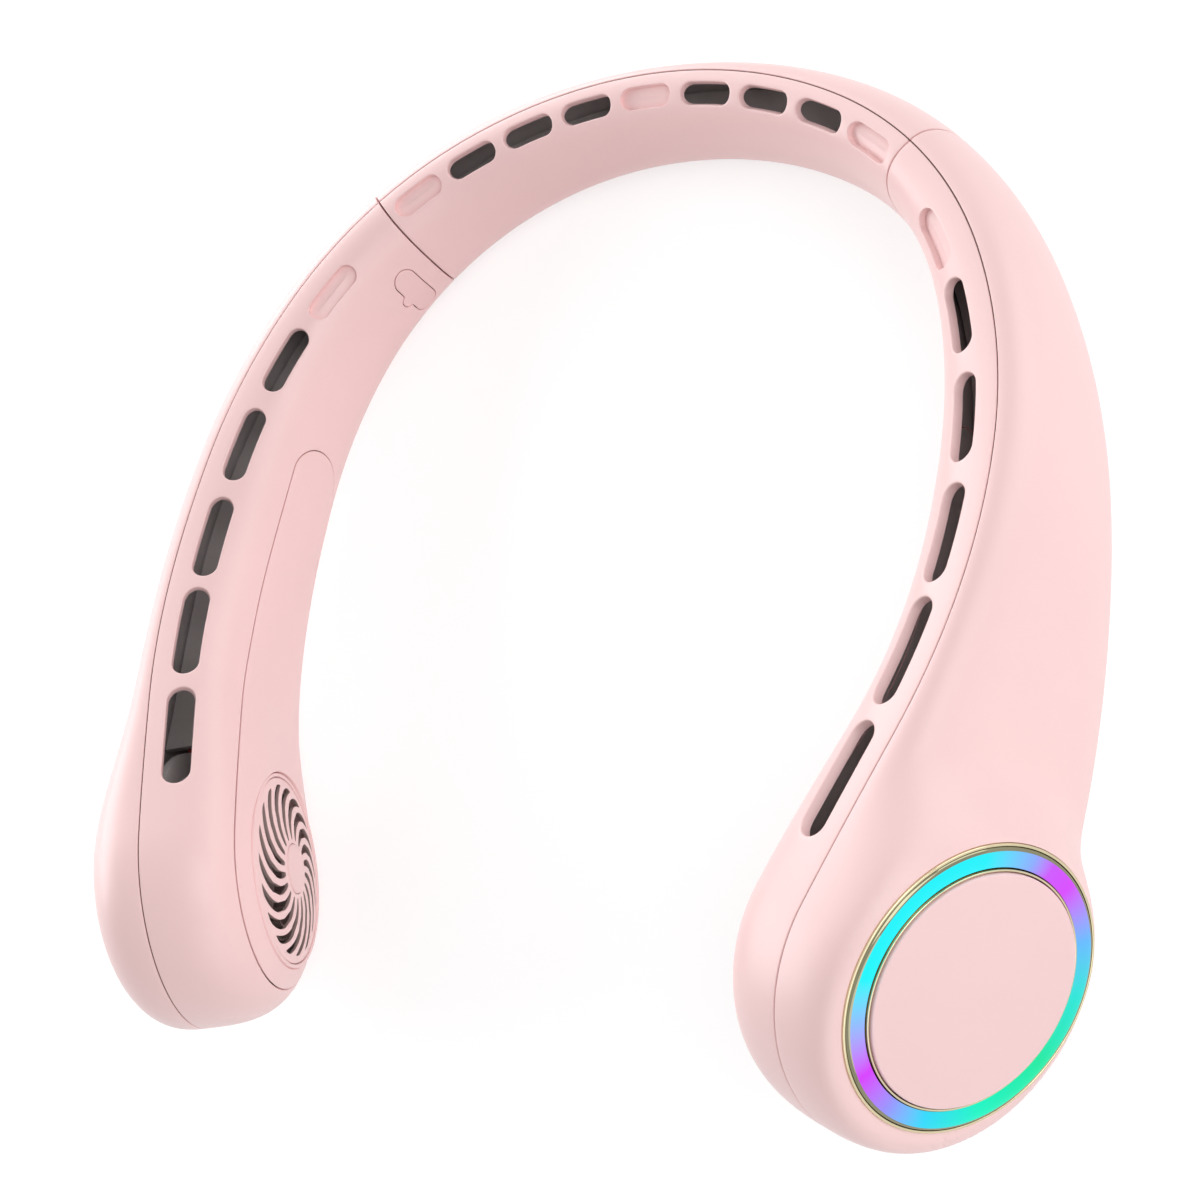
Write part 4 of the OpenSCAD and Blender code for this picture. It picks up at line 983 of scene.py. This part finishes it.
def intake_grille(side, mirror):
    """A shallow dome with swept slots between a plain hub and a stepped ring. The hub and the ring are
    lathed."""
    dome_r = (GRILLE_R ** 2 + DOME_RISE ** 2) / (2 * DOME_RISE)
    rise = GRILLE_RIM - DOME_RISE + GRILLE_STEP + dome_r

    def dome(r):
        return rise - np.sqrt(dome_r ** 2 - r ** 2)

    def place(places, inset):
        return np.stack([places[:, 0], places[:, 1], dome(np.hypot(places[:, 0], places[:, 1])) + inset], 1)

    hub_edge, plate_edge = HUB_EDGE_SHARE * HUB_R, GRILLE_R - GRILLE_STEP_W
    around = circle(96)
    holes = [Loop(lambda away: around * (hub_edge + away), 0.12)]
    holes += [grille_slot(k) for k in range(GRILLE_SLOTS)]
    # The slot walls and the back take the taupe: painted shade in the openings
    plate = sheet_mesh(Flat(plate_edge), place, Loop(lambda away: around * (plate_edge - away), 0.22),
                       holes, GRILLE_WALL, GRILLE_MESH_STEP, 1)
    hub_top = np.linspace(0, hub_edge - 0.45, 7)
    edge = dome(hub_edge)
    hub = np.concatenate([
        np.stack([hub_top, dome(hub_top) - HUB_RAISE], 1),
        rounded([(hub_edge - 0.5, edge - 0.11), (hub_edge - 0.16, edge - 0.1),
                 (hub_edge - 0.12, edge + 0.45), (hub_edge + 0.3, edge + 0.5),
                 (hub_edge + 0.3, edge + 1.2), (0, edge + 1.2)],
                (0, 0.14, 0.05, 0, 0, 0))])
    top, low = dome(plate_edge), GRILLE_RIM
    ring = rounded([(plate_edge - 0.5, top + 0.6), (plate_edge + 0.16, top + 0.55), (plate_edge + 0.2, low),
                    (GRILLE_R - 0.14, low), (GRILLE_R - 0.14, low + 2.6), (GRILLE_R - 1, low + 2.6),
                    (GRILLE_R - 1.2, top + 1.3), (plate_edge - 0.5, top + 1.3)],
                   (0, 0.1, 0.2, 0.22, 0, 0, 0, 0))
    hub, ring = lathe(hub, 96), lathe(ring, 144)
    slots = plate[2] + [0] * (len(hub[1]) + len(ring[1]))
    points, faces = joined([plate[:2], hub, ring])
    points = pod_points(points + (-GRILLE_FORWARD, GRILLE_UP, 0), mirror)
    piece(side + "_grille_skin", points, faces, [shell_plastic, grille_shade_plastic], side + "_arm",
          [side + "_intake_grille"], slots)


def solid_ribbon(name, corners, closed, finish, body, mirror=False):
    """A bar through rows of four corners, laid on the table."""
    n = len(corners)
    at = np.arange(4 * n).reshape(n, 4)
    faces = []
    for k in range(4):
        faces += strip(at[:, k], at[:, (k + 1) % 4], closed)
    if not closed:
        faces += [at[0].tolist(), at[-1].tolist()]
    points = laid(corners.reshape(-1, 3))
    return piece(name, across(points) if mirror else points, faces, [finish], body, [])


def arm_rim():
    """The seam between an arm's two shells: along its top, round the pod and back along its underside."""
    s = np.linspace(ARM_START + 0.4, POD_PATH, 150)
    o, _, w, n = spine(s)
    turn = np.linspace(0, np.pi, 90)[1:-1, None]
    ray = np.cos(turn) * POD_W + np.sin(turn) * POD_T
    low = o - height(s)[:, None] * w
    return (np.concatenate([o, POD_C + POD_R * ray, low[::-1]]), np.concatenate([-w, -ray, w[::-1]]),
            np.concatenate([n, np.broadcast_to(POD_N, ray.shape), n[::-1]]))


def neck_rim(top):
    """The seam between the back section's two shells, along its top or its underside."""
    s = np.linspace(-SEAM_PATH + 0.6, SEAM_PATH - 0.6, 120)
    o, _, w, n = spine(np.abs(s))
    if not top:
        o, w = o - height(np.abs(s))[:, None] * w, -w
    flip = np.stack([np.where(s < 0, -1, 1), np.ones_like(s), np.ones_like(s)], 1)
    return o * flip, -w * flip, n * flip


def seam_shade_bar(name, rim, body, mirror):
    """Painted shade in the seam between two shells: a thin dark bar a little below the edge."""
    edge, inward, out = rim
    corners = np.stack([edge + deep * inward + t * out for deep, t in (
        (SHADE_BAR_START, SHADE_BAR_HALF_T), (SHADE_BAR_START, -SHADE_BAR_HALF_T),
        (SHADE_BAR_END, -SHADE_BAR_HALF_T), (SHADE_BAR_END, SHADE_BAR_HALF_T))], 1)
    solid_ribbon(name, corners, False, seam_shade_plastic, body, mirror)


def gap_shade_backing(name, band, loop, body, mirror):
    """A thin dark flange behind the gap round an inset piece, so that no light comes through; its dark colour
    is painted shade in the gap.
    """
    rows = [band.surface(*loop.at(away).T, inset) for away, inset in (
        (-BACKING_HALF_W, BACKING_TOP), (BACKING_HALF_W, BACKING_TOP),
        (BACKING_HALF_W, BACKING_BOTTOM), (-BACKING_HALF_W, BACKING_BOTTOM))]
    solid_ribbon(name, np.stack(rows, 1), True, seam_shade_plastic, body, mirror)


def light_face():
    """The light ring as a rounded bead in its bright channel, and the press disc, which stands above
    both. The channel is half an ellipse; the bead is a squared oval, lit on top and plated on its flanks."""
    outer, inner = BEZEL_R, DISC_R + DISC_GAP
    wall_out, wall_in = outer - OUTER_LIP_W, inner + INNER_LIP_W
    middle, half = (wall_out + wall_in) / 2, (wall_out - wall_in) / 2
    inner_lip = DISC_RISE - DISC_EDGE_DROP
    turn = np.linspace(0, -np.pi, 19)[1:-1]
    channel = np.stack([middle + half * np.cos(turn), CHANNEL_TOP + CHANNEL_DEPTH * np.sin(turn)], 1)
    bezel = np.concatenate([
        rounded([(inner, BEZEL_BOTTOM), (outer, BEZEL_BOTTOM), (outer, 0), (wall_out, 0),
                 (wall_out, CHANNEL_TOP)], (0, 0, 0.18, 0.14, 0)),
        channel,
        rounded([(wall_in, CHANNEL_TOP), (wall_in, inner_lip), (inner, inner_lip),
                 (inner, BEZEL_BOTTOM)], (0, 0.12, 0.12, 0))[:-1]])
    points, faces = lathe(bezel, 240)
    piece("light_bezel_skin", face_points(points), faces, [bright_trim], "right_arm", ["right_light_bezel"])
    turn = np.linspace(0, 2 * np.pi, 36, endpoint=False)
    rise = np.sign(np.sin(turn)) * np.abs(np.sin(turn)) ** BEAD_SQUARENESS
    bead = np.stack([middle + (half + BEAD_PRESS) * np.cos(turn), BEAD_MIDDLE + BEAD_RISE * rise], 1)
    points, faces = lathe(bead, 240)
    lit = (turn > LIT_FROM_SHARE * np.pi) & (turn < LIT_TO_SHARE * np.pi)
    piece("light_ring_skin", face_points(points), faces, [channel_dark_reflection_plating, ring_glow], "right_arm",
          ["right_light_ring"], np.tile(lit.astype(int), 240))
    disc = rounded([(0, DISC_RISE), (DISC_R, DISC_RISE), (DISC_R, DISC_BOTTOM), (STEM_R, DISC_BOTTOM),
                    (STEM_R, STEM_END), (0, STEM_END)], (0, 0.3, 0.15, 0.1, 0.1, 0))
    points, faces = lathe(disc, 200)
    piece("press_disc_skin", face_points(points), faces, [disc_plastic], "right_button", ["right_press_disc"])


SIDES = (("right", False), ("left", True))


def band_piece(name, band, rim, holes, body, nodes, step, mirror=False, wall=WALL, mats=None):
    """A shell of the band, laid on the table; its lowest part is flat where it stands."""
    def place(places, inset):
        s, a = places.T
        p = laid(band.surface(s, a, inset))
        if mirror:
            p = across(p)
        if band.side < 0:
            p[:, 2] = np.maximum(p[:, 2], 0)
        return p
    points, faces, slots = sheet_mesh(band, place, rim, holes, wall, step)
    # The second finish covers the inner faces: grey there is painted shade inside the ducts
    return piece(name, points, faces, mats or [shell_plastic, duct_plastic], body, nodes, slots)


ARM_START = SEAM_PATH + SECTION_GAP / 2
TIP = POD_PATH + POD_R
arm_inner = Band(-1, ARM_START, TIP)
arm_outer = Band(1, ARM_START, TIP)
arm_mouth = Band(1, ARM_START, TIP, mouth=True)
neck_inner = Band(-1, -SEAM_PATH + SECTION_GAP / 2, SEAM_PATH - SECTION_GAP / 2)
neck_outer = Band(1, -SEAM_PATH + SECTION_GAP / 2, SEAM_PATH - SECTION_GAP / 2)

neck_slots = [neck_inner.slot(i * REAR_PITCH, REAR_INSET, REAR_SLOT, REAR_SLOT_W,
                              BLIND_DEPTH if i in BLIND_REAR_SLOTS else None)
              for i in range(-REAR_SIDE_SLOTS, REAR_SIDE_SLOTS + 1)]
band_piece("neck_vent_skin", neck_inner, Loop(neck_inner.edge, EDGE_FILLET), neck_slots, "neck",
           ["neck_vent_shell"], STEP)
band_piece("neck_outer_skin", neck_outer, Loop(neck_outer.edge, EDGE_FILLET), [], "neck",
           ["neck_outer_shell"], STEP)
arm_slots = []
for k, share in enumerate(ARM_SLOT_SHARES):
    along = k / (len(ARM_SLOT_SHARES) - 1)
    arm_slots.append(arm_inner.slot(share * POD_PATH, ARM_INSET, mix(*ARM_SLOT_LENGTHS, along),
                                    mix(*ARM_SLOT_WIDTHS, along), BLIND_DEPTH if k == 0 else None))
for side, mirror in SIDES:
    arm = side + "_arm"
    holes = arm_slots + [panel_loop(arm_inner, PANEL_FILLET, PANEL_GAP)]
    if side == "left":
        holes.append(cover_loop(arm_inner, EDGE_FILLET, PANEL_GAP))
    band_piece(side + "_vent_skin", arm_inner, Loop(arm_inner.edge, EDGE_FILLET), holes, arm,
               [side + "_vent_shell"], STEP, mirror)
    band_piece(side + "_panel_skin", arm_inner, turned_in(panel_loop(arm_inner, PANEL_FILLET, 0)),
               [grille_loop(arm_inner, 0.2, 0.1)], arm, [side + "_inner_panel"], STEP, mirror)
    intake_grille(side, mirror)
    # The dark bar in the arm's seam is painted shade
    seam_shade_bar(side + "_seam_tongue", arm_rim(), arm, mirror)
    # The dark backing behind the panel's gap is painted shade
    gap_shade_backing(side + "_panel_backing", arm_inner, panel_loop(arm_inner, 0, PANEL_GAP / 2), arm, mirror)
band_piece("left_outer_skin", arm_outer, Loop(arm_outer.edge, EDGE_FILLET), [], "left_arm",
           ["left_outer_shell"], STEP, True)
band_piece("right_outer_skin", arm_mouth, Loop(arm_mouth.edge, EDGE_FILLET),
           [mouth_loop(arm_mouth, 0.12, 0.12)], "right_arm", ["right_outer_shell"], STEP)
band_piece("port_cover_skin", arm_inner, turned_in(cover_loop(arm_inner, COVER_FILLET, 0)), [], "port_cover",
           ["left_port_cover"], COVER_STEP, True, COVER_WALL, [cover_rubber, cover_rubber])
# The dark backing behind the cover's gap is painted shade
gap_shade_backing("port_shade_backing", arm_inner, cover_loop(arm_inner, 0, PANEL_GAP / 2), "left_arm", True)
# Dark bars in the neck's seams, painted shade
for name, top in (("neck_top_tongue", True), ("neck_low_tongue", False)):
    seam_shade_bar(name, neck_rim(top), "neck", False)
light_face()

# Camera, as the photograph was taken, carried to the table: its place and its axes as the band is worn
LENS = 61.5
SENSOR_W = 36
CAMERA_PLACE = (211.9, -227.7, 277.9)
CAMERA_RIGHT = (0.841, 0.221, -0.494)
CAMERA_UP = (-0.013, 0.920, 0.391)
CAMERA_AHEAD = (-0.541, 0.322, -0.777)
camera_data = bpy.data.cameras.new("camera")
camera_data.lens = LENS
camera_data.sensor_width = SENSOR_W
camera = bpy.data.objects.new("camera", camera_data)
bpy.context.scene.collection.objects.link(camera)
right, upward, ahead = (TURN @ np.array(way) for way in (CAMERA_RIGHT, CAMERA_UP, CAMERA_AHEAD))
spot = laid(np.array(CAMERA_PLACE)) * MM
turned = Matrix(np.stack([right, upward, -ahead], 1).tolist()).to_quaternion().to_matrix().to_4x4()
camera.matrix_world = Matrix.Translation(spot.tolist()) @ turned
bpy.context.scene.camera = camera

# Floor, world and lamps. The floor that is seen is half its own light, which leaves the shadow on it
FLOOR_GLOW = 1.3
GLOW_SHARE = 0.5
FLOOR_SIZE_M = 6
FLOOR_DROP_M = 0.0002
WORLD_LIGHT = 0.38
LAMP_SIZE_M = 0.7
LAMP_TARGET_M = (0, 0, 0.03)
# Each lamp's name, place in metres and power in watts
LAMPS = (("right", (0.78, 0, 0.78), 3.9), ("rear_right", (0.75, 0.75, 0.28), 2.8),
         ("left", (-1.0, 0, 0.45), 5.4), ("rear_left", (-0.75, 0.75, 0.28), 6.3),
         ("front_right", (0.75, -0.75, 0.28), 1.8))
floor_finish = Finish("pale_floor", (250, 250, 250), 0.7)
glow = floor_finish.add("Emission", {}, {"Strength": FLOOR_GLOW})
floor_shader = Value(floor_finish, floor_finish.shader.outputs[0])
shares = floor_finish.shown() * GLOW_SHARE
seen_floor = floor_finish.add("MixShader", {}, {0: shares, 1: floor_shader, 2: glow})
floor_finish.tree.links.new(seen_floor.socket, floor_finish.tree.nodes["Material Output"].inputs["Surface"])
bpy.ops.mesh.primitive_plane_add(size=FLOOR_SIZE_M, location=(0, 0, -FLOOR_DROP_M))
floor = bpy.context.object
floor.name = "floor"
floor.data.materials.append(floor_finish.material)

world = bpy.data.worlds.new("studio")
bpy.context.scene.world = world
world.use_nodes = True
background = world.node_tree.nodes["Background"]
background.inputs["Color"].default_value = (1, 1, 1, 1)
strength = Nodes(world.node_tree).shown() * (1 - WORLD_LIGHT) + WORLD_LIGHT
world.node_tree.links.new(strength.socket, background.inputs["Strength"])


def softbox(name, place, power_w):
    """A square area lamp that looks at the object."""
    data = bpy.data.lights.new(name, "AREA")
    data.size = LAMP_SIZE_M
    data.energy = power_w
    lamp = bpy.data.objects.new(name, data)
    bpy.context.scene.collection.objects.link(lamp)
    lamp.location = place
    lamp.rotation_euler = (Vector(LAMP_TARGET_M) - Vector(place)).to_track_quat("-Z", "Y").to_euler()


for name, place, power_w in LAMPS:
    softbox(name, place, power_w)

bpy.context.scene.view_settings.view_transform = "Standard"
